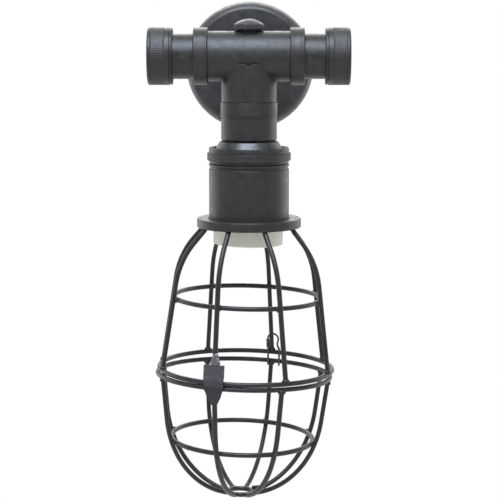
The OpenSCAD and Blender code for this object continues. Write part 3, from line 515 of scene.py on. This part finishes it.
for side, label in ((-1, "left"), (1, "right")):
    turned = lathe(f"knurled_cap_{label}", cap_outline)
    grip = knurl(
        CAP_R, KNURL_LOW, KNURL_HIGH, CAP_KNURLS_ROUND, CAP_KNURL_ROWS, CAP_KNURL_H
    )
    cap = place(join([turned, grip]), along_tube(side, CAP_X), TURNED_SMOOTH_DEG)
    hand_over(cap, f"cap_{label}", "black_coat", f"end_cap_{label}")

# %% [markdown]
# The bands beside the tube are plain rings with fine turned lines, which the tool left.
# Each line is a nick of less than a tenth of a millimetre in the outline.

# %% Bands
BAND_X, BAND_W, BAND_R = 34.7, 12.2, 24.2
BAND_LINES = (2.1, 3.4, BAND_W - 3.4, BAND_W - 2.1)
NICK_HALF = 0.14


def nick(radius, height, depth):
    """Three points of a small V groove in an outline."""
    return [
        (radius, height - NICK_HALF), (radius - depth, height), (radius, height + NICK_HALF)
    ]


band_outline = [
    (BORE_R, 0), (BAND_R - 0.9, 0), (BAND_R - 0.35, 0.3), (BAND_R, 0.9),
    *[point for line in BAND_LINES for point in nick(BAND_R, line, 0.08)],
    (BAND_R, BAND_W - 0.9), (BAND_R - 0.35, BAND_W - 0.3), (BAND_R - 0.9, BAND_W),
    (BORE_R, BAND_W),
]
for side, label in ((-1, "left"), (1, "right")):
    turned = lathe(f"turned_band_{label}", band_outline)
    band = place(turned, along_tube(side, BAND_X), TURNED_SMOOTH_DEG)
    hand_over(band, "fixture", "black_coat", f"band_{label}")

# %% [markdown]
# The coupling under the tee is a ring with two turned lines near its foot. The sleeve
# below it is a plain cup, hollow for the cables, with softly broken edges. Both are
# turned in the same way.

# %% Coupling and sleeve
COUPLING_Z, COUPLING_R, COUPLING_H = -41.1, 24.1, 12.7
SLEEVE_Z, SLEEVE_R, SLEEVE_H, SLEEVE_FLOOR = -60.7, 23.7, 19.6, 3
TUBE_BORE_R, NIPPLE_HOLE_R = 17.6, 5.05

coupling_outline = [
    (TUBE_BORE_R, 0), (COUPLING_R - 0.6, 0), (COUPLING_R - 0.15, 0.2), (COUPLING_R, 0.6),
    *nick(COUPLING_R, 2.2, 0.15), *nick(COUPLING_R, 3.6, 0.1),
    (COUPLING_R, COUPLING_H - 0.6), (COUPLING_R - 0.15, COUPLING_H - 0.2),
    (COUPLING_R - 0.6, COUPLING_H), (TUBE_BORE_R, COUPLING_H),
]
sleeve_outline = [
    (NIPPLE_HOLE_R, 0), (SLEEVE_R - 1.1, 0), (SLEEVE_R - 0.35, 0.3), (SLEEVE_R, 1.0),
    (SLEEVE_R, SLEEVE_H - 1.3), (SLEEVE_R - 0.3, SLEEVE_H - 1.2),
    (SLEEVE_R - 0.3, SLEEVE_H), (TUBE_BORE_R, SLEEVE_H), (TUBE_BORE_R, SLEEVE_FLOOR),
    (NIPPLE_HOLE_R, SLEEVE_FLOOR),
]
for name, outline, height, node in (
    ("lined_coupling", coupling_outline, COUPLING_Z, "coupling_ring"),
    ("plain_sleeve", sleeve_outline, SLEEVE_Z, "sleeve"),
):
    turned = place(lathe(name, outline), on_axis(height), TURNED_SMOOTH_DEG)
    hand_over(turned, "fixture", "black_coat", node)

# %% [markdown]
# Under the sleeve sits the lamp head's cup. Its cone is rubbed smoother than the paint
# round it, and a flat ring at its foot is what the collar clamps.

# %% Cup of the lamp head
CUP_Z, CUP_H, CUP_ROOF_Z = -69.5, 8, 5
CLAMP_R, CLAMP_T = 31.1, 1.0

cup_outline = [
    (NIPPLE_HOLE_R, CUP_ROOF_Z), (21, CUP_ROOF_Z), (24.6, -CLAMP_T), (CLAMP_R, -CLAMP_T),
    (CLAMP_R, 0), (28.9, 0), (28.9, 1.2), (25.3, 6.9), (24.9, 7.5), (24.2, 7.9),
    (23.4, CUP_H), (NIPPLE_HOLE_R, CUP_H),
]
cup = place(lathe("worn_cup", cup_outline), on_axis(CUP_Z), TURNED_SMOOTH_DEG)
hand_over(cup, "head", "black_coat", "holder_cup", worn_coat)

# %% [markdown]
# The collar clamps the lamp head's cup. It has a smooth lip, a knurled grip and a
# smooth tail, and turns by itself on the housing's thread.

# %% Collar
COLLAR_Z = -80.0
THREAD_R = 31.25
GRIP_R, GRIP_LOW, GRIP_HIGH = 35.7, 2.75, 8.45
COLLAR_KNURLS_ROUND, COLLAR_KNURL_ROWS, COLLAR_KNURL_H = 108, 3, 0.22

collar_outline = [
    (THREAD_R, 0), (33.4, 0), (33.7, 0.3), (33.7, 2.2), (35.0, 2.2), (35.4, 2.45),
    (35.4, 2.7), (34.9, GRIP_LOW), (34.9, GRIP_HIGH), (35.4, 8.5), (35.4, 8.75),
    (35.0, 9), (34.1, 9.05), (34.1, 12.4), (33.95, 12.8), (33.5, 13.1), (29.6, 13.1),
    (29.3, 12.8), (29.3, 10.6), (THREAD_R, 10.6),
]
turned = lathe("knurled_ring", collar_outline)
grip = knurl(
    GRIP_R, GRIP_LOW, GRIP_HIGH, COLLAR_KNURLS_ROUND, COLLAR_KNURL_ROWS, COLLAR_KNURL_H
)
collar = place(join([turned, grip]), on_axis(COLLAR_Z), TURNED_SMOOTH_DEG)
hand_over(collar, "collar", "black_coat", "knurled_collar")

# %% [markdown]
# The cream skirt of the lampholder hangs out of the housing, leaning as the cage does.
# Its mouth is rounded, as a moulding's is.

# %% Cream skirt
SKIRT_TOP, SKIRT_R, SKIRT_H, SKIRT_WALL, SKIRT_ROOF = -107.5, 29.7, 41.9, 2, 6
SKIRT_LEAN_DEG, SKIRT_SMOOTH_DEG, HOLDER_R = 1.3, 30, 19.85

skirt_outline = [
    (SKIRT_R - SKIRT_WALL, 1.0), (SKIRT_R - 1.6, 0.25), (SKIRT_R - 1.0, 0),
    (SKIRT_R - 0.45, 0.2), (SKIRT_R - 0.1, 0.7), (SKIRT_R, 1.3), (SKIRT_R, SKIRT_H),
    (HOLDER_R, SKIRT_H), (HOLDER_R, SKIRT_H - SKIRT_ROOF),
    (SKIRT_R - SKIRT_WALL, SKIRT_H - SKIRT_ROOF),
]
hang = on_axis(SKIRT_TOP) @ turn(SKIRT_LEAN_DEG, "Y") @ shift(0, 0, -SKIRT_H)
skirt = place(lathe("cream_skirt", skirt_outline), hang, SKIRT_SMOOTH_DEG)
hand_over(skirt, "head", "cream_plastic", "skirt")

# %% [markdown]
# The switch knob is a low dome with a ridged edge, on a thin boss. A disc is extruded
# upwards ring by ring, and each new ring is resized. The side has twice as many corners
# as ridges, and every second upright edge is then pulled in.

# %% Knob
KNOB_R, KNOB_Z, KNOB_SIDE, KNOB_DOME = 12.5, 32.65, 4.0, 4.8
BOSS_R, BOSS_H = 10.6, 0.32
RIDGES, RIDGE_PULL, KNOB_SMOOTH_DEG = 60, 0.975, 30
DOME_SHARES = (0.97, 0.9, 0.8, 0.65, 0.5, 0.35, 0.2, 0.08)

dome_r = (KNOB_R**2 + KNOB_DOME**2) / (2 * KNOB_DOME)
dome_reach = math.asin(KNOB_R / dome_r)
knob_rings = [
    (BOSS_R, 0), (KNOB_R - 0.3, 0), (KNOB_R, 0.3), (KNOB_R, KNOB_SIDE - 0.5),
    (KNOB_R - 0.15, KNOB_SIDE - 0.15),
]
for share in DOME_SHARES:
    angle = dome_reach * share
    dome_h = KNOB_SIDE + KNOB_DOME - dome_r * (1 - math.cos(angle))
    knob_rings.append((dome_r * math.sin(angle), dome_h))

deselect_all()
bpy.ops.mesh.primitive_circle_add(
    vertices=2 * RIDGES, radius=BOSS_R * MM, fill_type="NGON", location=mm(0, 0, -BOSS_H)
)
knob = bpy.context.object
knob.name = "ridged_knob"
bpy.ops.object.mode_set(mode="EDIT")
radius, height = BOSS_R, -BOSS_H
for next_r, next_h in knob_rings:
    up = mm(0, 0, next_h - height)
    bpy.ops.mesh.extrude_region_move(TRANSFORM_OT_translate={"value": up})
    grow = next_r / radius
    bpy.ops.transform.resize(value=(grow, grow, 1), center_override=mm(0, 0, next_h))
    radius, height = next_r, next_h


def between_ridges(x, y, z):
    """Every second upright edge of the knob's side."""
    count = round(math.atan2(y, x) / math.tau * 2 * RIDGES)
    return count % 2 == 0 and math.hypot(x, y) > BOSS_R + 1 and z < KNOB_SIDE - 0.3


settle(knob)
select_corners(knob, between_ridges)
bpy.ops.transform.resize(value=(RIDGE_PULL, RIDGE_PULL, 1), center_override=(0, 0, 0))
close_up()
knob = place(knob, on_axis(KNOB_Z), KNOB_SMOOTH_DEG)
# The knob's paler coat is painted light.
hand_over(knob, "knob_group", "black_coat", "knob", painted_light_coat)

# %% [markdown]
# The cage leans a little to the left, as the real one does, and its basket droops open
# by about four millimetres at the hinge. Both turns are kept as matrices: a wire is
# modelled upright on the axis, and a matrix puts it where the cage or the basket is.

# %% Where the cage and the basket are
CAGE_Z, CAGE_LEAN_DEG = -134.8, 1.3
HOOP_R, HOOP_DEPTH, WIRE_R = 74.4, 122.4, 2.0
LATCH_AT_DEG = -109.5
HINGE_GAP, LATCH_GAP = 4.05, 0.17
BASKET_SLIP = 1.5

cage_frame = on_axis(CAGE_Z) @ turn(CAGE_LEAN_DEG, "Y")
droop = math.degrees(math.asin((HINGE_GAP - LATCH_GAP) / (2 * HOOP_R)))
basket_frame = (
    cage_frame @ shift(0, 0, -HOOP_DEPTH - 2 * WIRE_R - LATCH_GAP)
    @ turn(LATCH_AT_DEG, "Z") @ shift(HOOP_R, 0, 0) @ turn(-droop, "Y")
    @ shift(-HOOP_R, -BASKET_SLIP, 0) @ turn(-LATCH_AT_DEG, "Z")
)
print("the basket droops", round(droop, 3), "degrees")

# %% [markdown]
# Bent wire is a round section pulled along a path: extrude to the next point, then turn
# the new end into the next stretch. The turn is shared between both sides of a corner,
# so the wire keeps its thickness.

# %% Pulling a wire
DRAWN_R = 1.98


def pull_wire(name, points, radius=DRAWN_R, sides=16, closed=False):
    """Pulls a round section through (x, z) points in the XZ plane."""
    deselect_all()
    ways = [
        math.atan2(there[0] - here[0], here[1] - there[1])
        for here, there in zip(points, points[1:])
    ]
    for i in range(1, len(ways)):
        while ways[i] - ways[i - 1] > math.pi:
            ways[i] -= math.tau
        while ways[i] - ways[i - 1] < -math.pi:
            ways[i] += math.tau
    full_turn = math.tau * (1 if ways[-1] > ways[0] else -1) if closed else 0
    last = (ways[-1] + ways[0] + full_turn) / 2 if closed else ways[-1]
    first = last - full_turn if closed else ways[0]
    faces = [first] + [(a + b) / 2 for a, b in zip(ways, ways[1:])] + [last]
    bpy.ops.mesh.primitive_circle_add(
        vertices=sides, radius=radius * MM, fill_type="NOTHING" if closed else "NGON",
        location=mm(points[0][0], 0, points[0][1]), rotation=(0, math.pi - first, 0),
    )
    wire = bpy.context.object
    wire.name = name
    bpy.ops.object.mode_set(mode="EDIT")
    for here, there, was, now in zip(points, points[1:], faces, faces[1:]):
        step = mm(there[0] - here[0], 0, there[1] - here[1])
        bpy.ops.mesh.extrude_region_move(TRANSFORM_OT_translate={"value": step})
        bpy.ops.transform.rotate(
            value=now - was, orient_axis="Y", center_override=mm(there[0], 0, there[1])
        )
    close_up()
    settle(wire)
    return wire


# %% [markdown]
# One wire is modelled and then copied to all eight places, each copy with its own mesh.
# No two stand quite alike: each has its own skew and sway. The wires in front measure a
# little thicker than those behind, so their skin is moved outwards.

# %% Wires all round
FIRST_WIRE_DEG, WIRE_PITCH_DEG = -64.5, 45
WIRE_SMOOTH_DEG = 40
FRONT_GROWTH = 0.22
FRONT_FROM_Y = -0.5


def wire_at(i, skew):
    """The turn to the place of a wire."""
    return turn(FIRST_WIRE_DEG + i * WIRE_PITCH_DEG + skew, "Z")


def copy_of(piece):
    """A copy with its own mesh."""
    twin = piece.copy()
    twin.data = piece.data.copy()
    bpy.context.collection.objects.link(twin)
    return twin


def fatten(piece):
    """Moves the skin of a wire outwards."""
    bpy.ops.object.mode_set(mode="EDIT")
    bpy.ops.mesh.select_all(action="SELECT")
    bpy.ops.transform.shrink_fatten(value=FRONT_GROWTH * MM)
    bpy.ops.object.mode_set(mode="OBJECT")


def all_round(piece, frame_matrix, skews, sways):
    """Copies a piece to the place of each wire, and joins the copies.

    A wire stands skew degrees off its even place and leans sway degrees sideways,
    about the point where it meets the hoop.
    """
    wires = []
    for i, (skew, sway) in enumerate(zip(skews, sways)):
        about = wire_at(i, skew)
        lean = shift(0, 0, -HOOP_DEPTH) @ turn(-sway, "X") @ shift(0, 0, HOOP_DEPTH)
        wire = place(copy_of(piece), frame_matrix @ about @ lean, WIRE_SMOOTH_DEG)
        if about.col[0].y < FRONT_FROM_Y:
            fatten(wire)
        wires.append(wire)
    name = piece.name
    bpy.data.objects.remove(piece)
    ring = join(wires)
    ring.name = name
    return ring


# %% [markdown]
# Each weld is a small lump of molten metal that froze. It starts as an icosphere with
# the lump's size. Its points are moved at random, with a fixed seed, and then smoothed,
# so that no lump is quite round.

# %% Welds
WELD_ROUGH = 0.3


def weld(x, y, z, size, seed, rough=WELD_ROUGH):
    deselect_all()
    bpy.ops.mesh.primitive_ico_sphere_add(subdivisions=3, radius=MM, location=mm(x, y, z))
    lump = bpy.context.object
    bpy.ops.object.mode_set(mode="EDIT")
    bpy.ops.transform.resize(value=size, center_override=mm(x, y, z))
    bpy.ops.transform.vertex_random(offset=rough * MM, seed=seed)
    bpy.ops.mesh.vertices_smooth(factor=0.5)
    close_up()
    settle(lump)
    return lump


# %% [markdown]
# An upper wire leaves the flange, bends out, runs round the cage's shoulder and comes
# down to the hoop. The angles and radii below give its points, as they do in the CAD
# source. Where two wires are welded, one bites a little into the other.

# %% Upper wires
CAGE_TOP_R, START_UP, WIRE_TOP = 40.2, 1.2, 2.84
FLARE_DEG, FLARE_R, SHOULDER_R, SLOPE_DEG = 40, 6, 68, 7.4
BEND_STEP_DEG = 5
WELD_BITE = 0.3
BUTT = WIRE_R - WELD_BITE
SIDE_BY_SIDE = 2 * WIRE_R - WELD_BITE
UPPER_SKEWS = (1.5, -0.5, -0.5, 1.5, 2.5, 6.5, -7, -0.5)
UPPER_SWAYS = (-2.5, -0.5, 1.5, 1.5, 1.5, -2, 2.5, -1.5)
WELD_SINK, WELD_OFF_HOOP = 0.2, 2.2
HOOP_WELD = (2.9, 3.3, 2.3)


def bend(start, way0, way1, radius):
    """Points of a bend. A way is an angle from straight down, positive outwards."""
    side = 1 if way1 > way0 else -1
    count = math.ceil(abs(way1 - way0) / BEND_STEP_DEG)
    a0 = math.radians(way0)
    ways = [a0 + math.radians(way1 - way0) * i / count for i in range(1, count + 1)]
    return [
        (
            start[0] + side * radius * (math.cos(a0) - math.cos(a)),
            start[1] - side * radius * (math.sin(a) - math.sin(a0)),
        )
        for a in ways
    ]


flare = bend((CAGE_TOP_R, START_UP), 0, FLARE_DEG, FLARE_R)
flare_x, flare_z = flare[-1]
flare_way, slope_way = math.radians(FLARE_DEG), math.radians(SLOPE_DEG)
across = HOOP_R - flare_x - SHOULDER_R * (math.cos(slope_way) - math.cos(flare_way))
down = (
    HOOP_DEPTH - BUTT + flare_z
    - SHOULDER_R * (math.sin(flare_way) - math.sin(slope_way))
)
side_run = (
    (down * math.sin(flare_way) - across * math.cos(flare_way))
    / math.sin(flare_way - slope_way)
)
flare_run = (across - side_run * math.sin(slope_way)) / math.sin(flare_way)
shoulder = (
    flare_x + flare_run * math.sin(flare_way),
    flare_z - flare_run * math.cos(flare_way),
)
upper_points = [
    (CAGE_TOP_R, WIRE_TOP), (CAGE_TOP_R, START_UP), *flare, shoulder,
    *bend(shoulder, FLARE_DEG, SLOPE_DEG, SHOULDER_R), (HOOP_R, BUTT - HOOP_DEPTH),
]
RING_DEPTH = 61
RING_R = (
    HOOP_R - SIDE_BY_SIDE / math.cos(slope_way)
    - (HOOP_DEPTH - BUTT - RING_DEPTH) * math.tan(slope_way)
)
upper_wire = join([
    pull_wire("welded_upper_wires", upper_points),
    weld(RING_R + WIRE_R - WELD_SINK, 0, -RING_DEPTH, (2.0, 3.4, 3.0), 3),
    weld(HOOP_R, 0, WELD_OFF_HOOP - HOOP_DEPTH, HOOP_WELD, 7),
])
upper_wires = all_round(upper_wire, cage_frame, UPPER_SKEWS, UPPER_SWAYS)
hand_over(upper_wires, "head", "wire_coat", "upper_wires")

# %% [markdown]
# A hoop is a round section spun once round. Each ring has one or two joint welds, which
# stand out as small lumps.

# %% Hoops and rings
HOOP_WIRE_R = 2.08
JOINT_WELD, JOINT_ROUGH, FIRST_JOINT_SEED = (2.3, 3.4, 2.3), 0.35, 11


def hoop(name, radius, joints_deg, frame_matrix, steps=ROUND_STEPS):
    """A ring of wire with a weld at each joint."""
    deselect_all()
    bpy.ops.mesh.primitive_circle_add(
        vertices=16, radius=HOOP_WIRE_R * MM, location=mm(radius, 0, 0),
        rotation=(math.pi / 2, 0, 0),
    )
    ring = bpy.context.object
    ring.name = name
    bpy.ops.object.mode_set(mode="EDIT")
    bpy.ops.mesh.spin(steps=steps, angle=math.tau, center=(0, 0, 0), axis=(0, 0, 1))
    close_up()
    settle(ring)
    pieces = [ring]
    for seed, joint_deg in enumerate(joints_deg, start=FIRST_JOINT_SEED):
        lump = weld(radius, 0, 0, JOINT_WELD, seed, JOINT_ROUGH)
        lump.matrix_world = turn(joint_deg, "Z")
        pieces.append(lump)
    return place(join(pieces), frame_matrix, WIRE_SMOOTH_DEG)


ring_frame = cage_frame @ shift(0, 0, -RING_DEPTH)
upper_ring = hoop("upper_ring_wire", RING_R, (205,), ring_frame)
hand_over(upper_ring, "head", "wire_coat", "upper_ring")
hoop_frame = cage_frame @ shift(0, 0, -HOOP_DEPTH)
upper_hoop = hoop("upper_hoop_wire", HOOP_R, (-17, 188), hoop_frame)
hand_over(upper_hoop, "head", "wire_coat", "upper_hoop")
lower_hoop = hoop("lower_hoop_wire", HOOP_R, (150,), basket_frame)
hand_over(lower_hoop, "basket", "wire_coat", "lower_hoop")

# %% [markdown]
# The basket's wires drop nearly straight and then curve in along a quarter of an
# ellipse, until they butt against the small ring at the bottom. One of them was left too
# long, and its end, cut square, lies on the ring.

# %% Basket wires
SIDE_H, DRAW_IN, BASKET_DEPTH = 36, 4.4, 104.45
BOTTOM_R = 10.8
LOWER_SKEWS = (0, 4, -1, 0.75, 1.5, 2, -2.5, 1)
BOWL_STEPS = 24
BOTTOM_WELD_UP = 0.5
CUT_END_AT_DEG = 24.5
CUT_END = [(24, -101.8), (18, -102.1), (11.7, -102.0)]

bowl_start = math.radians(8)
bowl_r = (HOOP_R - DRAW_IN) / math.cos(bowl_start)
bowl_turn = math.acos((BOTTOM_R + BUTT) / bowl_r)
bowl_h = (BASKET_DEPTH - SIDE_H) / (math.sin(bowl_turn) - math.sin(bowl_start))
bowl_angles = [
    bowl_start + (bowl_turn - bowl_start) * i / BOWL_STEPS for i in range(BOWL_STEPS + 1)
]
lower_points = [(HOOP_R, -BUTT)] + [
    (bowl_r * math.cos(a), -SIDE_H - bowl_h * (math.sin(a) - math.sin(bowl_start)))
    for a in bowl_angles
]
lower_wire = join([
    pull_wire("welded_basket_wires", lower_points),
    weld(HOOP_R, 0, -WELD_OFF_HOOP, HOOP_WELD, 5),
    weld(BOTTOM_R + BUTT, 0, BOTTOM_WELD_UP - BASKET_DEPTH, (2.2, 2.8, 1.8), 13),
])
lower_wires = all_round(lower_wire, basket_frame, LOWER_SKEWS, [0] * len(LOWER_SKEWS))
cut_end = pull_wire("cut_end", CUT_END)
cut_end = place(cut_end, basket_frame @ turn(CUT_END_AT_DEG, "Z"), WIRE_SMOOTH_DEG)
lower_wires = join([lower_wires, cut_end])
hand_over(lower_wires, "basket", "wire_coat", "lower_wires")

# %% [markdown]
# The basket's larger ring lies inside its wires, where the ellipse is at that depth. It
# hangs a little askew, so it has a tilt of its own and brings a weld for each wire.

# %% Basket rings
LOW_RING_DEPTH, LOW_RING_TILT_DEG = 55.9, 1.7
FIRST_RING_SEED = 9
BOTTOM_RING_STEPS = 64

ring_turn = math.asin((LOW_RING_DEPTH - SIDE_H) / bowl_h + math.sin(bowl_start))
ring_slope = math.atan(bowl_r * math.sin(ring_turn) / (bowl_h * math.cos(ring_turn)))
LOW_RING_R = bowl_r * math.cos(ring_turn) - SIDE_BY_SIDE / math.cos(ring_slope)
low_ring_frame = (
    basket_frame @ shift(0, 0, -LOW_RING_DEPTH) @ turn(LOW_RING_TILT_DEG, "X")
)
low_ring = [hoop("lower_ring_wire", LOW_RING_R, (-137,), low_ring_frame)]
for i, skew in enumerate(LOWER_SKEWS):
    lump = weld(
        LOW_RING_R + WIRE_R - WELD_SINK, 0, 0, (2.0, 3.4, 2.8), FIRST_RING_SEED + i
    )
    low_ring.append(place(lump, low_ring_frame @ wire_at(i, skew), WIRE_SMOOTH_DEG))
hand_over(join(low_ring), "basket", "wire_coat", "lower_ring")
bottom_frame = basket_frame @ shift(0, 0, -BASKET_DEPTH)
bottom_ring = hoop("bottom_ring_wire", BOTTOM_R, (40,), bottom_frame, BOTTOM_RING_STEPS)
hand_over(bottom_ring, "basket", "wire_coat", "bottom_ring")

# %% [markdown]
# The hinge is one bent spring wire. A link goes round both hoops on each side of the
# upright wire, with a little clearance, and a tall loop joins the links behind it. One
# leg of the loop is flattened: its corners are picked by their place and resized.

# %% Hinge wire
HINGE_WIRE_R, HINGE_SIDES, HINGE_SMOOTH_DEG = 0.85, 12, 50
LINK_CLEARANCE = 1.05
LINK_R = WIRE_R + HINGE_WIRE_R + LINK_CLEARANCE
LINK_LEFT, LINK_RIGHT = 5.62, 4.88
LINK_DROP = 2 * WIRE_R + HINGE_GAP
LINK_TURN_DEG = 19.5
LOOP_H, LOOP_R = 16.5, 5.0
STRAP_LOW, STRAP_HIGH, STRAP_SHAPE = 3.4, 10.4, (1.9, 0.7, 1)
ARC_STEPS = 12


def arc(x, z, radius, from_deg, to_deg):
    """Points of an arc round a middle, in even steps."""
    angles = [
        math.radians(from_deg + (to_deg - from_deg) * i / ARC_STEPS)
        for i in range(ARC_STEPS + 1)
    ]
    return [(x + radius * math.cos(a), z + radius * math.sin(a)) for a in angles]


def on_strap(x, y, z):
    """The leg of the loop that is flattened."""
    return STRAP_LOW - 0.2 < z < STRAP_HIGH + 0.2 and x > LINK_LEFT - 1


link_points = arc(0, 0, LINK_R, 0, 180) + arc(0, -LINK_DROP, LINK_R, 180, 360)
loop_points = [
    (LINK_LEFT, 0), (LINK_LEFT, 1.8), (LINK_LEFT, STRAP_LOW), (LINK_LEFT, STRAP_HIGH),
    *arc(LINK_LEFT - LOOP_R, LOOP_H - LOOP_R, LOOP_R, 0, 180),
    (1.55 - LINK_RIGHT, 7.0), (1.4 - LINK_RIGHT, 5.2), (0.7 - LINK_RIGHT, 3.6),
    (0.2 - LINK_RIGHT, 2.25), (-LINK_RIGHT, 0),
]
hinge_frame = hoop_frame @ turn(LATCH_AT_DEG + 180, "Z")
parts = []
for y in (LINK_LEFT, -LINK_RIGHT):
    link = pull_wire(
        "link", link_points + link_points[:1], HINGE_WIRE_R, HINGE_SIDES, closed=True
    )
    about = shift(HOOP_R, y, 0) @ turn(LINK_TURN_DEG, "Z")
    parts.append(place(link, hinge_frame @ about, HINGE_SMOOTH_DEG))
loop = pull_wire("loop", loop_points, HINGE_WIRE_R, HINGE_SIDES)
select_corners(loop, on_strap)
bpy.ops.transform.resize(value=STRAP_SHAPE, center_override=mm(LINK_LEFT, 0, 0))
bpy.ops.object.mode_set(mode="OBJECT")
link_way = math.radians(LINK_TURN_DEG)
upright = (
    shift(HOOP_R + LINK_R * math.cos(link_way), LINK_R * math.sin(link_way), 0)
    @ turn(-SLOPE_DEG, "Y") @ turn(90, "Z")
)
parts.append(place(loop, hinge_frame @ upright, HINGE_SMOOTH_DEG))
hinge = join(parts)
hinge.name = "bent_hinge_wire"
hand_over(hinge, "head", "spring_steel", "hinge_wire")

# %% [markdown]
# The latch is a pressed plate. It starts as a flat grid as wide as the plate. Each row
# is pushed out to clear the wire and the hoops, the lower rows are narrowed to the
# tongue, and two soft bumps are pressed into it. Solidify gives it the sheet's
# thickness and Bevel breaks its edges.

# %% Latch plate
LATCH_W, LATCH_UP, LATCH_LOW, LATCH_T = 18.0, 15.6, 17.8, 1.4
LATCH_ROWS, LATCH_COLUMNS = 67, 34
LATCH_ROLL_DEG, LATCH_SMOOTH_DEG = 1.5, 30
ROUNDING = 0.001
BUMPS_AT, BUMP_UP, BUMP_R, BUMP_H = (-4.3, 4.7), 1.2, 2.9, 0.55
EDGE_BREAK, EDGE_FROM_DEG = 0.25, 60
back_line = [
    (LATCH_UP, 74.9), (5.8, 76.2), (4.6, 76.7), (-7, 76.7), (-LATCH_LOW, 75.4)
]
half_widths = [
    (LATCH_UP, 1.0), (4.6, 1.0), (4.2, 0.97), (-5.2, 0.95), (-6.2, 0.84), (-11.5, 0.64),
    (-14.6, 0.46), (-16.8, 0.34), (-LATCH_LOW, 0.22),
]


def on_line(line, h):
    """A value at a height, on straight stretches between the points of a line."""
    for (h0, r0), (h1, r1) in zip(line, line[1:]):
        if h >= h1 - ROUNDING:
            return r0 + (r1 - r0) * (h0 - h) / (h0 - h1)
    return line[-1][1]


def pressed_out(y, h):
    """How far the bumps stand out at a point, from 0 to 1."""
    return sum(
        math.exp(-(((y - middle) / BUMP_R) ** 4) - ((h - BUMP_UP) / BUMP_R) ** 4)
        for middle in BUMPS_AT
    )


deselect_all()
bpy.ops.mesh.primitive_grid_add(
    x_subdivisions=LATCH_ROWS, y_subdivisions=LATCH_COLUMNS, size=MM,
    rotation=(0, math.pi / 2, 0),
)
plate = bpy.context.object
plate.name = "pressed_latch_plate"
plate.scale = (LATCH_UP + LATCH_LOW, LATCH_W, 1)
settle(plate)
middle_h = (LATCH_UP - LATCH_LOW) / 2
for corner in plate.data.vertices:
    h = corner.co.z / MM + middle_h
    y = corner.co.y / MM * on_line(half_widths, h)
    corner.co = mm(on_line(back_line, h) + BUMP_H * pressed_out(y, h), y, h)
solid = plate.modifiers.new("sheet", "SOLIDIFY")
solid.thickness = LATCH_T * MM
solid.offset = 1
edge = plate.modifiers.new("edge", "BEVEL")
edge.width = EDGE_BREAK * MM
edge.segments = 2
edge.limit_method = "ANGLE"
edge.angle_limit = math.radians(EDGE_FROM_DEG)
pick(plate)
for modifier in ("sheet", "edge"):
    bpy.ops.object.modifier_apply(modifier=modifier)
bpy.ops.object.mode_set(mode="EDIT")
close_up()
latch_frame = hoop_frame @ turn(LATCH_AT_DEG, "Z")
plate = place(plate, latch_frame @ turn(LATCH_ROLL_DEG, "X"), LATCH_SMOOTH_DEG)

# %% [markdown]
# The latch's steel is painted darker towards the foot of the plate: painted shade on the
# tongue, which faces down, away from the light.

# %% Painted shade on the latch
PAINTED_SHADE_TOP, PAINTED_SHADE_LOW, PAINTED_SHADE_SHARE = -253, -260, 0.3


def darker_below(material, top, low, share):
    """Paints shade into a finish: darker from one height in mm down to another."""
    nodes, links = material.node_tree.nodes, material.node_tree.links
    colour = nodes["Principled BSDF"].inputs["Base Color"]
    unshaded_colour = colour.links[0].from_socket
    where = nodes.new("ShaderNodeTexCoord")
    split = nodes.new("ShaderNodeSeparateXYZ")
    fade = nodes.new("ShaderNodeMapRange")
    fade.inputs["From Min"].default_value = low * MM
    fade.inputs["From Max"].default_value = top * MM
    fade.inputs["To Min"].default_value = share
    fade.inputs["To Max"].default_value = 1
    dim = nodes.new("ShaderNodeVectorMath")
    dim.operation = "SCALE"
    links.new(where.outputs["Object"], split.inputs["Vector"])
    links.new(split.outputs["Z"], fade.inputs["Value"])
    links.new(unshaded_colour, dim.inputs[0])
    links.new(fade.outputs["Result"], dim.inputs["Scale"])
    links.new(dim.outputs["Vector"], colour)


# Painted shade: the latch steel darkens towards the plate's foot.
darker_below(latch_steel, PAINTED_SHADE_TOP, PAINTED_SHADE_LOW, PAINTED_SHADE_SHARE)
hand_over(plate, "latch", "spring_steel", "latch_plate", latch_steel)
reach_of = [(latch_frame.inverted() @ v.co).x / MM for v in plate.data.vertices]
print("the plate stands between", round(min(reach_of), 2), "and", round(max(reach_of), 2))

# %% [markdown]
# The latch hangs from a weld on the upright wire. Three lumps overlap, each narrower and
# higher than the last.

# %% Weld over the latch
ROOT_ROUGH, ROOT_SMOOTH_DEG = 0.15, 60

root = join([
    weld(74.9, 0.2, 17.4, (1.5, 4.7, 2.8), 21, ROOT_ROUGH),
    weld(74.5, 0.3, 19.2, (1.6, 3.7, 3.6), 22, ROOT_ROUGH),
    weld(74.0, 0.4, 21.4, (1.7, 2.8, 4.0), 23, ROOT_ROUGH),
])
root.name = "latch_weld"
root = place(root, latch_frame, ROOT_SMOOTH_DEG)
hand_over(root, "head", "spring_steel", "latch_root", bare_weld)
